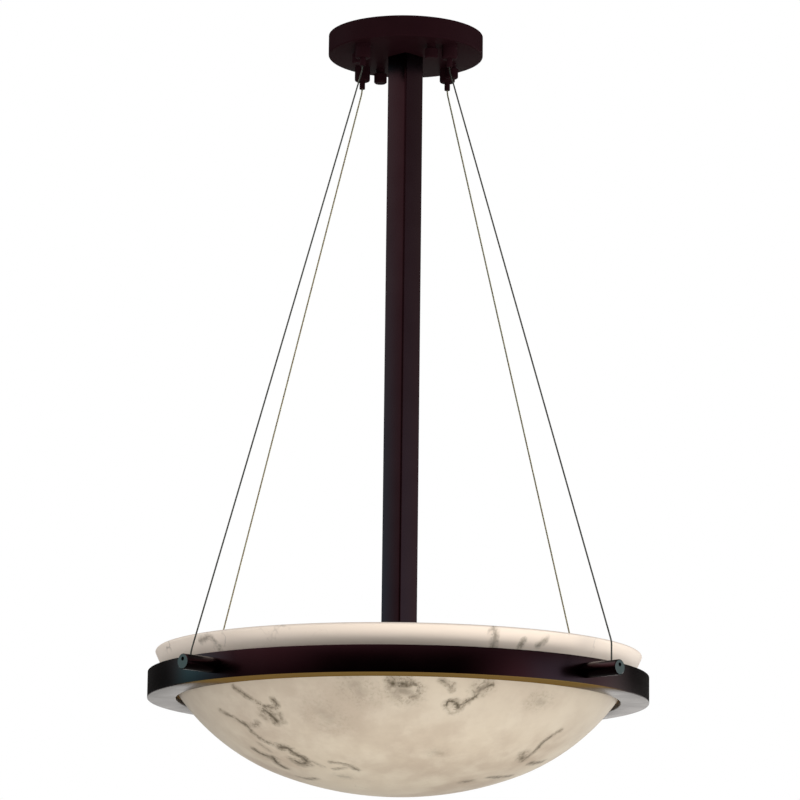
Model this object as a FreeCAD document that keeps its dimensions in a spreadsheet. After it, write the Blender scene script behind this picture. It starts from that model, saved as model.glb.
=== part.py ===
"""Alabaster bowl pendant: a ceiling light whose bowl sits in a ring that hangs on four cables.

Millimetres, +Z up. The origin is the centre of the ceiling plate's top face, which lies on the ceiling.
Angles in plan are counted from +X towards +Y. Cables, grippers, pins and lamps stand at 45 degrees and
every quarter turn from there, in line with the flats of the square stem.
"""

import math
import os
import re

import FreeCAD, Part
import Sketcher

QUARTERS = 4
FIRST_AZIMUTH = 45.0
QUARTER_TURN = 90.0
VERTICAL = FreeCAD.Vector(0, 0, 1)
HALF_TURN = "half turn"
GLOBE_SEAM = "sqrt(3) / 2"
RIM_ARC_SHARE = 0.52

doc = FreeCAD.newDocument("alabaster_bowl_pendant")

# ---------------------------------------------------------------- sizes

SIZES = {
    # ceiling plate and its studs
    "plate_radius": 66.0,
    "plate_thickness": 2.0,
    "wire_hole_radius": 9.0,
    "slot_spacing": 88.9,
    "slot_width": 5.0,
    "slot_length": 13.0,
    "stud_circle": 51.5,
    "stud_azimuth": 27.7,
    "stud_radius": 2.0,
    "stud_flange_radius": 4.0,
    "stud_flange_thickness": 1.2,
    "stud_thread_depth": 9.0,
    # canopy
    "canopy_radius": 75.0,
    "canopy_height": 20.0,
    "canopy_wall": 1.5,
    "canopy_edge": 1.4,
    # thumb nuts
    "nut_radius": 6.25,
    "nut_length": 10.0,
    "nut_chamfer": 1.0,
    "nut_neck_radius": 4.2,
    "nut_neck_length": 4.0,
    "nut_roof": 3.0,
    # cable grippers
    "gripper_circle": 59.0,
    "gripper_radius": 7.5,
    "gripper_length": 13.6,
    "gripper_edge": 2.0,
    "spigot_radius": 4.0,
    "spigot_length": 7.5,
    "lock_nut_radius": 6.8,
    "lock_nut_thickness": 3.0,
    "plunger_radius": 2.75,
    "plunger_reach": 7.8,
    "plunger_stroke": 2.5,
    "plunger_collar_radius": 4.2,
    "plunger_collar_thickness": 1.6,
    "plunger_bore_radius": 1.2,
    "chamber_radius": 4.6,
    "spring_height": 3.9,
    "gripper_floor": 2.6,
    # cables
    "cable_radius": 0.8,
    "cable_bend": 9.0,
    "cable_drop": 2.6,
    "ferrule_radius": 1.7,
    "ferrule_length": 5.0,
    # stem
    "stem_side": 25.0,
    "stem_corner": 2.0,
    "stem_wall": 1.5,
    "stem_above_ring": 22.0,
    "plug_thickness": 8.0,
    "nipple_radius": 5.0,
    "nipple_bore_radius": 3.6,
    "nipple_nut_radius": 8.6,
    "nipple_nut_thickness": 4.0,
    "nipple_end": 2.0,
    # lamp hub, sockets and lamps
    "hub_side": 60.0,
    "hub_corner": 6.0,
    "hub_height": 30.0,
    "hub_wall": 1.5,
    "cover_thickness": 1.5,
    "cover_lip": 4.0,
    "socket_radius": 18.0,
    "socket_floor": 9.0,
    "socket_edge": 1.5,
    "socket_spigot": 7.0,
    "contact_radius": 4.5,
    "contact_height": 3.0,
    "lamp_cap_radius": 13.1,
    "lamp_cap_length": 24.0,
    "lamp_cap_showing": 1.0,
    "lamp_tip_length": 3.0,
    "lamp_tip_radius": 4.5,
    "lamp_neck_radius": 14.0,
    "lamp_radius": 30.0,
    "lamp_length": 106.0,
    "lamp_glass": 1.2,
    # ring, pins and their screws
    "ring_drop": 650.0,
    "ring_radius": 236.0,
    "ring_height": 25.0,
    "ring_wall": 4.0,
    "flange_width": 22.8,
    "flange_thickness": 4.5,
    "ring_edge": 0.6,
    "pin_radius": 7.0,
    "pin_length": 40.0,
    "pin_chamfer": 0.6,
    "pin_thread_depth": 12.0,
    "pin_cable_inset": 10.0,
    "pin_cable_depth": 9.5,
    "set_screw_radius": 1.75,
    "set_screw_length": 5.0,
    "set_screw_offset": 2.3,
    "set_screw_key": 0.8,
    "pin_screw_radius": 3.0,
    "pin_screw_head_radius": 5.5,
    "pin_screw_head": 3.3,
    # bowl and its gasket
    "bowl_rim_gap": 1.8,
    "bowl_depth": 134.0,
    "bowl_floor_arc": 323.0,
    "bowl_side_arc": 205.0,
    "bowl_wall": 5.0,
    "bowl_seat_inset": 2.3,
    "gasket_height": 3.0,
    "gasket_width": 5.0,
    # clearances
    "running_fit": 0.06,
    "screw_fit": 0.05,
    "hole_fit": 0.2,
    "seat_fit": 0.3,
}

# Places that follow from the sizes, each a formula on the names above it.
PLACES = {
    "plate_floor": "-plate_thickness",
    "canopy_floor": "-canopy_height",
    "canopy_ceiling": "canopy_wall - canopy_height",
    "gripper_base": "canopy_floor - gripper_length",
    "chamber_floor": "gripper_base + gripper_floor",
    "chamber_height": "plunger_collar_thickness + plunger_stroke + spring_height",
    "plunger_tip": "gripper_base - plunger_reach",
    "spigot_top": "canopy_floor + spigot_length",
    "nipple_top": "canopy_ceiling + nipple_nut_thickness + nipple_end",
    "ring_floor": "-ring_drop",
    "ring_top": "ring_floor + ring_height",
    "flange_top": "ring_floor + flange_thickness",
    "ring_bore_radius": "ring_radius - ring_wall - flange_width",
    "bowl_rim_radius": "ring_radius - ring_wall - bowl_rim_gap",
    "pin_height": "ring_floor + ring_height / 2",
    "pin_end": "ring_radius + pin_length",
    "pin_cable_radius": "pin_end - pin_cable_inset",
    "stem_base": "ring_floor + stem_above_ring",
    "hub_top": "stem_base",
    "hub_floor": "hub_top - hub_height",
    "hub_half": "hub_side / 2",
    "lamp_height": "hub_top - hub_height / 2",
    "socket_back": "hub_half + socket_floor",
    "lamp_start": "socket_back + contact_height",
    "lamp_cap_start": "lamp_start + lamp_tip_length",
    "lamp_neck": "lamp_cap_start + lamp_cap_length",
    "socket_mouth": "lamp_neck - lamp_cap_showing",
    "lamp_end": "lamp_start + lamp_length",
    "lamp_centre": "lamp_end - lamp_radius",
    # the bowl's outer profile: a floor arc centred on the axis, then a side arc tangent to it
    "arc_difference": "bowl_floor_arc - bowl_side_arc",
    "rim_reach": "sqrt(bowl_rim_radius ^ 2 + (bowl_floor_arc - bowl_depth) ^ 2)",
    "rim_angle": "atan2(bowl_rim_radius; bowl_floor_arc - bowl_depth)",
    "reach_product": "2 * arc_difference * rim_reach",
    "turn_cosine": "(rim_reach ^ 2 + arc_difference ^ 2 - bowl_side_arc ^ 2) / reach_product",
    "bowl_turn": "rim_angle - acos(turn_cosine)",
    "side_centre_x": "arc_difference * sin(bowl_turn)",
    "side_centre_rise": "bowl_floor_arc - arc_difference * cos(bowl_turn)",
    "seat_reach": "ring_bore_radius - bowl_seat_inset - side_centre_x",
    "side_centre_z": "flange_top + sqrt(bowl_side_arc ^ 2 - seat_reach ^ 2)",
    "bowl_base": "side_centre_z - side_centre_rise",
    "floor_centre_z": "bowl_base + bowl_floor_arc",
    "bowl_rim": "bowl_base + bowl_depth",
    "gasket_top": "flange_top + gasket_height",
}

sheet = doc.addObject("Spreadsheet::Sheet", "Sizes")
for row, (alias, number) in enumerate(SIZES.items(), start=1):
    sheet.set(f"A{row}", alias)
    sheet.set(f"B{row}", str(number))
    sheet.setAlias(f"B{row}", alias)
for row, (alias, formula) in enumerate(PLACES.items(), start=len(SIZES) + 1):
    sheet.set(f"A{row}", alias)
    sheet.set(f"B{row}", "=" + formula)
    sheet.setAlias(f"B{row}", alias)
doc.recompute()


def cells(formula):
    """The formula as an expression on the sheet, with every size name as its cell."""
    return re.sub(r"\b(?!(?:sin|cos|tan|sqrt|max|min)\b)[a-z]\w+\b", r"Sizes.\g<0>", str(formula))


def value(formula):
    """The formula's number now."""
    return float(sheet.evalExpression(cells(formula)))


# ---------------------------------------------------------------- sketches and features


def new_body(name):
    """An empty body whose label is the node's name."""
    body = doc.addObject("PartDesign::Body", name)
    body.Label = name
    return body


def new_sketch(body, plane, height="0"):
    """A sketch on one of the body's own origin planes, lifted along its normal by height."""
    sketch = body.newObject("Sketcher::SketchObject", f"{body.Name}_sketch")
    side = next(item for item in body.Origin.OriginFeatures if item.Role == plane)
    sketch.AttachmentSupport = [(side, "")]
    sketch.MapMode = "FlatFace"
    if height != "0":
        sketch.setExpression("AttachmentOffset.Base.z", cells(height))
    return sketch


def fix(sketch, kind, geometry, point, formula):
    """One dimension of a sketch, bound to a formula on the sheet."""
    if point is None:
        index = sketch.addConstraint(Sketcher.Constraint(kind, geometry, value(formula)))
    else:
        index = sketch.addConstraint(Sketcher.Constraint(kind, geometry, point, value(formula)))
    sketch.setExpression(f"Constraints[{index}]", cells(formula))


def add_circle(sketch, radius, x="0", y="0"):
    """A circle of the sketch, from formulas."""
    centre = FreeCAD.Vector(value(x), value(y), 0)
    circle = sketch.addGeometry(Part.Circle(centre, VERTICAL, value(radius)))
    fix(sketch, "DistanceX", circle, 3, x)
    fix(sketch, "DistanceY", circle, 3, y)
    fix(sketch, "Radius", circle, None, radius)


def arc_between(start, end, radius, side):
    """The short arc from start to end with its centre to the left (1) or right (-1) of the way there."""
    chord = end - start
    middle = start + chord * 0.5
    left = FreeCAD.Vector(-chord.y, chord.x, 0).normalize()
    height = math.sqrt(max(radius**2 - (chord.Length / 2) ** 2, 0.0))
    centre = middle + left * (height * side)
    first, last = (start, end) if side > 0 else (end, start)
    angles = [math.atan2(point.y - centre.y, point.x - centre.x) for point in (first, last)]
    return Part.ArcOfCircle(Part.Circle(centre, VERTICAL, radius), *angles)


def add_loop(sketch, corners):
    """A closed loop of lines and arcs. A corner is (x, y), or (x, y, radius, side) if an arc leaves it.

    A radius of HALF_TURN is a half circle that ends at the same x as it starts.
    """
    points = [FreeCAD.Vector(value(corner[0]), value(corner[1]), 0) for corner in corners]
    ends = []
    for corner, start, end in zip(corners, points, points[1:] + points[:1]):
        if len(corner) == 2:
            edge = sketch.addGeometry(Part.LineSegment(start, end))
            ends.append((edge, 1, 2))
        elif corner[2] == HALF_TURN:
            edge = sketch.addGeometry(arc_between(start, end, (end - start).Length / 2, corner[3]))
            ends.append((edge, 1, 2) if corner[3] > 0 else (edge, 2, 1))
            fix(sketch, "DistanceX", edge, 3, corner[0])
        else:
            edge = sketch.addGeometry(arc_between(start, end, value(corner[2]), corner[3]))
            ends.append((edge, 1, 2) if corner[3] > 0 else (edge, 2, 1))
            fix(sketch, "Radius", edge, None, corner[2])
    for corner, (edge, begin, _), (before, _, finish) in zip(corners, ends, ends[-1:] + ends[:-1]):
        sketch.addConstraint(Sketcher.Constraint("Coincident", before, finish, edge, begin))
        fix(sketch, "DistanceX", edge, begin, corner[0])
        fix(sketch, "DistanceY", edge, begin, corner[1])


def turn(body, corners, axis="V_Axis"):
    """A solid of revolution from a loop in the XZ plane, about the vertical (V) or the X axis (H)."""
    sketch = new_sketch(body, "XZ_Plane")
    add_loop(sketch, corners)
    feature = body.newObject("PartDesign::Revolution", f"{body.Name}_turned")
    feature.Profile = sketch
    feature.ReferenceAxis = (sketch, [axis])
    feature.Angle = 360
    body.Tip = feature
    return feature


def pad(body, sketch, length, downwards=False):
    """A sketch padded along its normal, or against it."""
    feature = body.newObject("PartDesign::Pad", f"{body.Name}_pad")
    feature.Profile = sketch
    feature.setExpression("Length", cells(length))
    feature.Reversed = downwards
    body.Tip = feature
    return feature


def pocket(body, sketch, depth):
    """A sketch cut against its normal."""
    feature = body.newObject("PartDesign::Pocket", f"{body.Name}_pocket")
    feature.Profile = sketch
    feature.setExpression("Length", cells(depth))
    body.Tip = feature
    return feature


def quarter_pattern(body, feature):
    """The feature repeated every quarter turn about the vertical."""
    pattern = body.newObject("PartDesign::PolarPattern", f"{body.Name}_pattern")
    pattern.Originals = [feature]
    axis = next(item for item in body.Origin.OriginFeatures if item.Role == "Z_Axis")
    pattern.Axis = (axis, [""])
    pattern.Angle = 360
    pattern.Occurrences = QUARTERS
    body.Tip = pattern
    return pattern


def azimuth_of(quarter):
    """The plan angle of the cable, gripper, pin and lamp with this number, counted from 0."""
    return FIRST_AZIMUTH + QUARTER_TURN * quarter


def place(item, azimuth="0", radius="0", height="0"):
    """Stands an item at a plan radius and height, turned to its azimuth."""
    angle = value(azimuth)
    item.Placement = FreeCAD.Placement(FreeCAD.Vector(), FreeCAD.Rotation(VERTICAL, angle))
    item.setExpression("Placement.Base.x", cells(f"({radius}) * cos({azimuth})"))
    item.setExpression("Placement.Base.y", cells(f"({radius}) * sin({azimuth})"))
    item.setExpression("Placement.Base.z", cells(height))


def group(name, bodies):
    """One node of several like solids."""
    compound = doc.addObject("Part::Compound", name)
    compound.Label = name
    compound.Links = bodies
    return compound


def rounded_square(sketch, half, corner):
    """A square about the origin with rounded corners."""
    flat = f"({half}) - ({corner})"
    half, corner = f"({half})", f"({corner})"
    add_loop(
        sketch,
        [
            (half, f"-({flat})"),
            (half, flat, corner, 1),
            (flat, half),
            (f"-({flat})", half, corner, 1),
            (f"-{half}", flat),
            (f"-{half}", f"-({flat})", corner, 1),
            (f"-({flat})", f"-{half}"),
            (flat, f"-{half}", corner, 1),
        ],
    )


def add_hexagon(sketch, corner_radius):
    """A hexagon about the origin."""
    turns = [60 * index for index in range(6)]
    add_loop(sketch, [(f"{corner_radius} * cos({a})", f"{corner_radius} * sin({a})") for a in turns])


def hex_nut(name, corner_radius, bore_radius, base, thickness):
    """A plain hexagon nut standing on base."""
    body = new_body(name)
    sketch = new_sketch(body, "XY_Plane", base)
    add_hexagon(sketch, corner_radius)
    add_circle(sketch, bore_radius)
    pad(body, sketch, thickness)
    return body


nodes = []

# ---------------------------------------------------------------- ceiling plate and studs
# A round steel plate, screwed to the outlet box through two slots. Four welded studs carry the canopy.

ceiling_plate = new_body("ceiling_plate")
plate_sketch = new_sketch(ceiling_plate, "XY_Plane")
add_circle(plate_sketch, "plate_radius")
add_circle(plate_sketch, "wire_hole_radius")
pad(ceiling_plate, plate_sketch, "plate_thickness", downwards=True)
slot_sketch = new_sketch(ceiling_plate, "XY_Plane")
slot_reach = "slot_length / 2 - slot_width / 2"
for side in ("-", ""):
    centre = f"{side}slot_spacing / 2"
    add_loop(
        slot_sketch,
        [
            (f"{centre} - ({slot_reach})", "-slot_width / 2"),
            (f"{centre} + ({slot_reach})", "-slot_width / 2", HALF_TURN, 1),
            (f"{centre} + ({slot_reach})", "slot_width / 2"),
            (f"{centre} - ({slot_reach})", "slot_width / 2", HALF_TURN, 1),
        ],
    )
pocket(ceiling_plate, slot_sketch, "plate_thickness")
stud_hole_sketch = new_sketch(ceiling_plate, "XY_Plane")
add_circle(
    stud_hole_sketch,
    "stud_radius + screw_fit",
    "stud_circle * cos(stud_azimuth)",
    "stud_circle * sin(stud_azimuth)",
)
quarter_pattern(ceiling_plate, pocket(ceiling_plate, stud_hole_sketch, "plate_thickness"))
nodes.append(ceiling_plate)

studs = []
for quarter in range(QUARTERS):
    stud = new_body(f"plate_stud_{quarter + 1}")
    turn(
        stud,
        [
            ("0", "0"),
            ("0", "canopy_floor - stud_thread_depth"),
            ("stud_radius", "canopy_floor - stud_thread_depth"),
            ("stud_radius", "plate_floor - stud_flange_thickness"),
            ("stud_flange_radius", "plate_floor - stud_flange_thickness"),
            ("stud_flange_radius", "plate_floor"),
            ("stud_radius", "plate_floor"),
            ("stud_radius", "0"),
        ],
    )
    place(stud, f"stud_azimuth + {QUARTER_TURN * quarter}", "stud_circle")
    studs.append(stud)
nodes.append(group("plate_studs", studs))

# ---------------------------------------------------------------- canopy
# A spun cup that covers the outlet box. Its floor is drilled for the stem, the studs and the grippers.

canopy = new_body("canopy")
turn(
    canopy,
    [
        ("canopy_radius - canopy_wall", "0"),
        ("canopy_radius - canopy_wall", "canopy_ceiling"),
        ("nipple_radius + hole_fit", "canopy_ceiling"),
        ("nipple_radius + hole_fit", "canopy_floor"),
        ("canopy_radius - canopy_edge", "canopy_floor", "canopy_edge", 1),
        ("canopy_radius", "canopy_floor + canopy_edge"),
        ("canopy_radius", "0"),
    ],
)
for hole_radius, circle, azimuth in (
    ("stud_radius + hole_fit", "stud_circle", "stud_azimuth"),
    ("spigot_radius + hole_fit", "gripper_circle", f"{FIRST_AZIMUTH}"),
):
    hole_sketch = new_sketch(canopy, "XY_Plane", "canopy_ceiling")
    add_circle(hole_sketch, hole_radius, f"{circle} * cos({azimuth})", f"{circle} * sin({azimuth})")
    quarter_pattern(canopy, pocket(canopy, hole_sketch, "canopy_wall"))
nodes.append(canopy)

# ---------------------------------------------------------------- thumb nuts
# Blind nuts with a narrow neck, turned by hand on the studs to draw the canopy up to the ceiling.

for quarter in range(QUARTERS):
    nut = new_body(f"thumb_nut_{quarter + 1}")
    nut_neck_base = "canopy_floor - nut_neck_length"
    nut_base = f"{nut_neck_base} - nut_length"
    nut_bore = "stud_radius + running_fit"
    turn(
        nut,
        [
            (nut_bore, "canopy_floor"),
            (nut_bore, f"{nut_base} + nut_roof"),
            ("0", f"{nut_base} + nut_roof"),
            ("0", nut_base),
            ("nut_radius - nut_chamfer", nut_base),
            ("nut_radius", f"{nut_base} + nut_chamfer"),
            ("nut_radius", f"{nut_neck_base} - nut_chamfer"),
            ("nut_radius - nut_chamfer", nut_neck_base),
            ("nut_neck_radius", nut_neck_base),
            ("nut_neck_radius", "canopy_floor"),
        ],
    )
    place(nut, f"stud_azimuth + {QUARTER_TURN * quarter}", "stud_circle")
    nodes.append(nut)

# ---------------------------------------------------------------- cable grippers
# Each body is held in the canopy by a spigot and a lock nut. A sprung plunger stands out below it:
# pushing the plunger up frees the cable.

lock_nuts = []
for quarter in range(QUARTERS):
    gripper = new_body(f"gripper_body_{quarter + 1}")
    chamber_roof = "chamber_floor + chamber_height"
    tip_bore = "plunger_radius + running_fit"
    turn(
        gripper,
        [
            ("plunger_bore_radius", "spigot_top"),
            ("plunger_bore_radius", chamber_roof),
            ("chamber_radius", chamber_roof),
            ("chamber_radius", "chamber_floor"),
            (tip_bore, "chamber_floor"),
            (tip_bore, "gripper_base"),
            ("gripper_radius - gripper_edge", "gripper_base", "gripper_edge", 1),
            ("gripper_radius", "gripper_base + gripper_edge"),
            ("gripper_radius", "canopy_floor"),
            ("spigot_radius", "canopy_floor"),
            ("spigot_radius", "spigot_top"),
        ],
    )
    place(gripper, f"{azimuth_of(quarter)}", "gripper_circle")
    nodes.append(gripper)

    plunger = new_body(f"gripper_plunger_{quarter + 1}")
    collar_top = "chamber_floor + plunger_collar_thickness"
    turn(
        plunger,
        [
            ("plunger_bore_radius", "plunger_tip"),
            ("plunger_radius", "plunger_tip"),
            ("plunger_radius", "chamber_floor"),
            ("plunger_collar_radius", "chamber_floor"),
            ("plunger_collar_radius", collar_top),
            ("plunger_bore_radius", collar_top),
        ],
    )
    place(plunger, f"{azimuth_of(quarter)}", "gripper_circle")
    nodes.append(plunger)

    lock_nut = hex_nut(
        f"gripper_lock_nut_{quarter + 1}",
        "lock_nut_radius",
        "spigot_radius + screw_fit",
        "canopy_ceiling",
        "lock_nut_thickness",
    )
    place(lock_nut, f"{azimuth_of(quarter)}", "gripper_circle")
    lock_nuts.append(lock_nut)
nodes.append(group("gripper_lock_nuts", lock_nuts))

# ---------------------------------------------------------------- stem
# A square tube that hides the wires. Plugs welded in both ends take the threaded nipples.

stem = new_body("stem")
stem_sketch = new_sketch(stem, "XY_Plane", "stem_base")
rounded_square(stem_sketch, "stem_side / 2", "stem_corner")
rounded_square(stem_sketch, "stem_side / 2 - stem_wall", "stem_corner - stem_wall / 2")
pad(stem, stem_sketch, "canopy_floor - stem_base")
place(stem, f"{FIRST_AZIMUTH}")
nodes.append(stem)

for name, base in (
    ("stem_top_plug", "canopy_floor - plug_thickness"),
    ("stem_bottom_plug", "stem_base"),
):
    plug = new_body(name)
    plug_sketch = new_sketch(plug, "XY_Plane", base)
    rounded_square(
        plug_sketch,
        "stem_side / 2 - stem_wall - screw_fit",
        "stem_corner - stem_wall / 2",
    )
    add_circle(plug_sketch, "nipple_radius + screw_fit")
    pad(plug, plug_sketch, "plug_thickness")
    place(plug, f"{FIRST_AZIMUTH}")
    nodes.append(plug)

for name, base, top in (
    ("top_nipple", "canopy_floor - plug_thickness", "nipple_top"),
    ("hub_nipple", "hub_top - hub_wall - nipple_nut_thickness - nipple_end", "stem_base + plug_thickness"),
):
    nipple = new_body(name)
    nipple_sketch = new_sketch(nipple, "XY_Plane", base)
    add_circle(nipple_sketch, "nipple_radius")
    add_circle(nipple_sketch, "nipple_bore_radius")
    pad(nipple, nipple_sketch, f"{top} - ({base})")
    nodes.append(nipple)

for name, base in (
    ("top_lock_nut", "canopy_ceiling"),
    ("hub_lock_nut", "hub_top - hub_wall - nipple_nut_thickness"),
):
    nodes.append(
        hex_nut(name, "nipple_nut_radius", "nipple_radius + screw_fit", base, "nipple_nut_thickness")
    )

# ---------------------------------------------------------------- lamp hub
# A pressed box on the stem's lower end, with a lamp socket on each side and a cover let into its floor.

hub = new_body("socket_hub")
hub_sketch = new_sketch(hub, "XY_Plane", "hub_floor")
rounded_square(hub_sketch, "hub_half", "hub_corner")
pad(hub, hub_sketch, "hub_height")
hub_room_sketch = new_sketch(hub, "XY_Plane", "hub_top - hub_wall")
rounded_square(hub_room_sketch, "hub_half - hub_wall", "hub_corner - hub_wall")
pocket(hub, hub_room_sketch, "hub_height - hub_wall")
hub_hole_sketch = new_sketch(hub, "XY_Plane", "hub_top")
add_circle(hub_hole_sketch, "nipple_radius + screw_fit")
pocket(hub, hub_hole_sketch, "hub_wall")
side_hole_sketch = new_sketch(hub, "YZ_Plane", "hub_half")
add_circle(side_hole_sketch, "nipple_radius + screw_fit", "0", "lamp_height")
quarter_pattern(hub, pocket(hub, side_hole_sketch, "hub_wall"))
place(hub, f"{FIRST_AZIMUTH}")
nodes.append(hub)

hub_cover = new_body("hub_cover")
cover_sketch = new_sketch(hub_cover, "XY_Plane", "hub_floor")
rounded_square(cover_sketch, "hub_half", "hub_corner")
pad(hub_cover, cover_sketch, "cover_thickness", downwards=True)
lip_sketch = new_sketch(hub_cover, "XY_Plane", "hub_floor")
lip_half = "hub_half - hub_wall - hole_fit"
lip_corner = "hub_corner - hub_wall"
rounded_square(lip_sketch, lip_half, lip_corner)
rounded_square(lip_sketch, f"{lip_half} - hub_wall", f"{lip_corner} - hub_wall / 2")
pad(hub_cover, lip_sketch, "cover_lip")
place(hub_cover, f"{FIRST_AZIMUTH}")
nodes.append(hub_cover)

# ---------------------------------------------------------------- lamp sockets and lamps
# Each socket is fixed through the hub's side by a threaded spigot and a lock nut. The lamps screw in.

socket_nuts = []
contacts = []
for quarter in range(QUARTERS):
    azimuth = f"{azimuth_of(quarter)}"
    socket_bore = "lamp_cap_radius + running_fit"
    socket = new_body(f"lamp_socket_{quarter + 1}")
    turn(
        socket,
        [
            ("hub_half - socket_spigot", "nipple_bore_radius"),
            ("socket_back", "nipple_bore_radius"),
            ("socket_back", socket_bore),
            ("socket_mouth", socket_bore),
            ("socket_mouth", "socket_radius - socket_edge"),
            ("socket_mouth - socket_edge", "socket_radius"),
            ("hub_half", "socket_radius"),
            ("hub_half", "nipple_radius"),
            ("hub_half - socket_spigot", "nipple_radius"),
        ],
        "H_Axis",
    )
    place(socket, azimuth, "0", "lamp_height")
    nodes.append(socket)

    contact = new_body(f"socket_contact_{quarter + 1}")
    turn(
        contact,
        [
            ("hub_half", "0"),
            ("lamp_start", "0"),
            ("lamp_start", "contact_radius"),
            ("socket_back", "contact_radius"),
            ("socket_back", "nipple_bore_radius - screw_fit"),
            ("hub_half", "nipple_bore_radius - screw_fit"),
        ],
        "H_Axis",
    )
    place(contact, azimuth, "0", "lamp_height")
    contacts.append(contact)

    nut_end = "hub_half - hub_wall"
    nut_start = f"{nut_end} - lock_nut_thickness"
    socket_nut = new_body(f"socket_lock_nut_{quarter + 1}")
    nut_sketch = new_sketch(socket_nut, "YZ_Plane", nut_start)
    add_hexagon(nut_sketch, "nipple_nut_radius")
    add_circle(nut_sketch, "nipple_radius + screw_fit")
    pad(socket_nut, nut_sketch, "lock_nut_thickness")
    place(socket_nut, azimuth, "0", "lamp_height")
    socket_nuts.append(socket_nut)

    lamp_cap = new_body(f"lamp_cap_{quarter + 1}")
    turn(
        lamp_cap,
        [
            ("lamp_start", "0"),
            ("lamp_start", "lamp_tip_radius"),
            ("lamp_cap_start", "lamp_cap_radius - lamp_tip_length"),
            ("lamp_cap_start", "lamp_cap_radius"),
            ("lamp_neck", "lamp_cap_radius"),
            ("lamp_neck", "0"),
        ],
        "H_Axis",
    )
    place(lamp_cap, azimuth, "0", "lamp_height")
    nodes.append(lamp_cap)

    # the envelope: a blown globe on a conical neck, open where it is cemented to the cap; its arcs meet
    # half a radius to each side of its centre
    lamp = new_body(f"lamp_glass_{quarter + 1}")
    inner_radius = "(lamp_radius - lamp_glass)"
    turn(
        lamp,
        [
            ("lamp_neck", "lamp_neck_radius"),
            ("lamp_centre - lamp_radius / 2", f"lamp_radius * {GLOBE_SEAM}", "lamp_radius", -1),
            ("lamp_centre + lamp_radius / 2", f"lamp_radius * {GLOBE_SEAM}", "lamp_radius", -1),
            ("lamp_end", "0"),
            ("lamp_end - lamp_glass", "0", inner_radius, 1),
            (f"lamp_centre + {inner_radius} / 2", f"{inner_radius} * {GLOBE_SEAM}", inner_radius, 1),
            (f"lamp_centre - {inner_radius} / 2", f"{inner_radius} * {GLOBE_SEAM}"),
            ("lamp_neck", "lamp_neck_radius - lamp_glass"),
        ],
        "H_Axis",
    )
    place(lamp, azimuth, "0", "lamp_height")
    nodes.append(lamp)
nodes.append(group("socket_contacts", contacts))
nodes.append(group("socket_lock_nuts", socket_nuts))

# ---------------------------------------------------------------- ring
# A rolled hoop of L section. The cables lift it by its band, and the bowl sits on its flange.

ring = new_body("ring")
turn(
    ring,
    [
        ("ring_bore_radius + ring_edge", "ring_floor"),
        ("ring_radius - ring_edge", "ring_floor", "ring_edge", 1),
        ("ring_radius", "ring_floor + ring_edge"),
        ("ring_radius", "ring_top - ring_edge", "ring_edge", 1),
        ("ring_radius - ring_edge", "ring_top"),
        ("ring_radius - ring_wall + ring_edge", "ring_top"),
        ("ring_radius - ring_wall", "ring_top - ring_edge"),
        ("ring_radius - ring_wall", "flange_top"),
        ("ring_bore_radius", "flange_top"),
        ("ring_bore_radius", "ring_floor + ring_edge"),
    ],
)
screw_hole_sketch = new_sketch(ring, "YZ_Plane", "ring_radius + ring_edge")
add_circle(screw_hole_sketch, "pin_screw_radius + hole_fit", "0", "pin_height")
quarter_pattern(ring, pocket(ring, screw_hole_sketch, "ring_wall + 2 * ring_edge"))
place(ring, f"{FIRST_AZIMUTH}")
nodes.append(ring)

# ---------------------------------------------------------------- cable pins
# A turned pin with a cross hole for the cable. A set screw in its end face clamps the cable, and a
# screw from inside the ring holds the pin.

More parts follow.
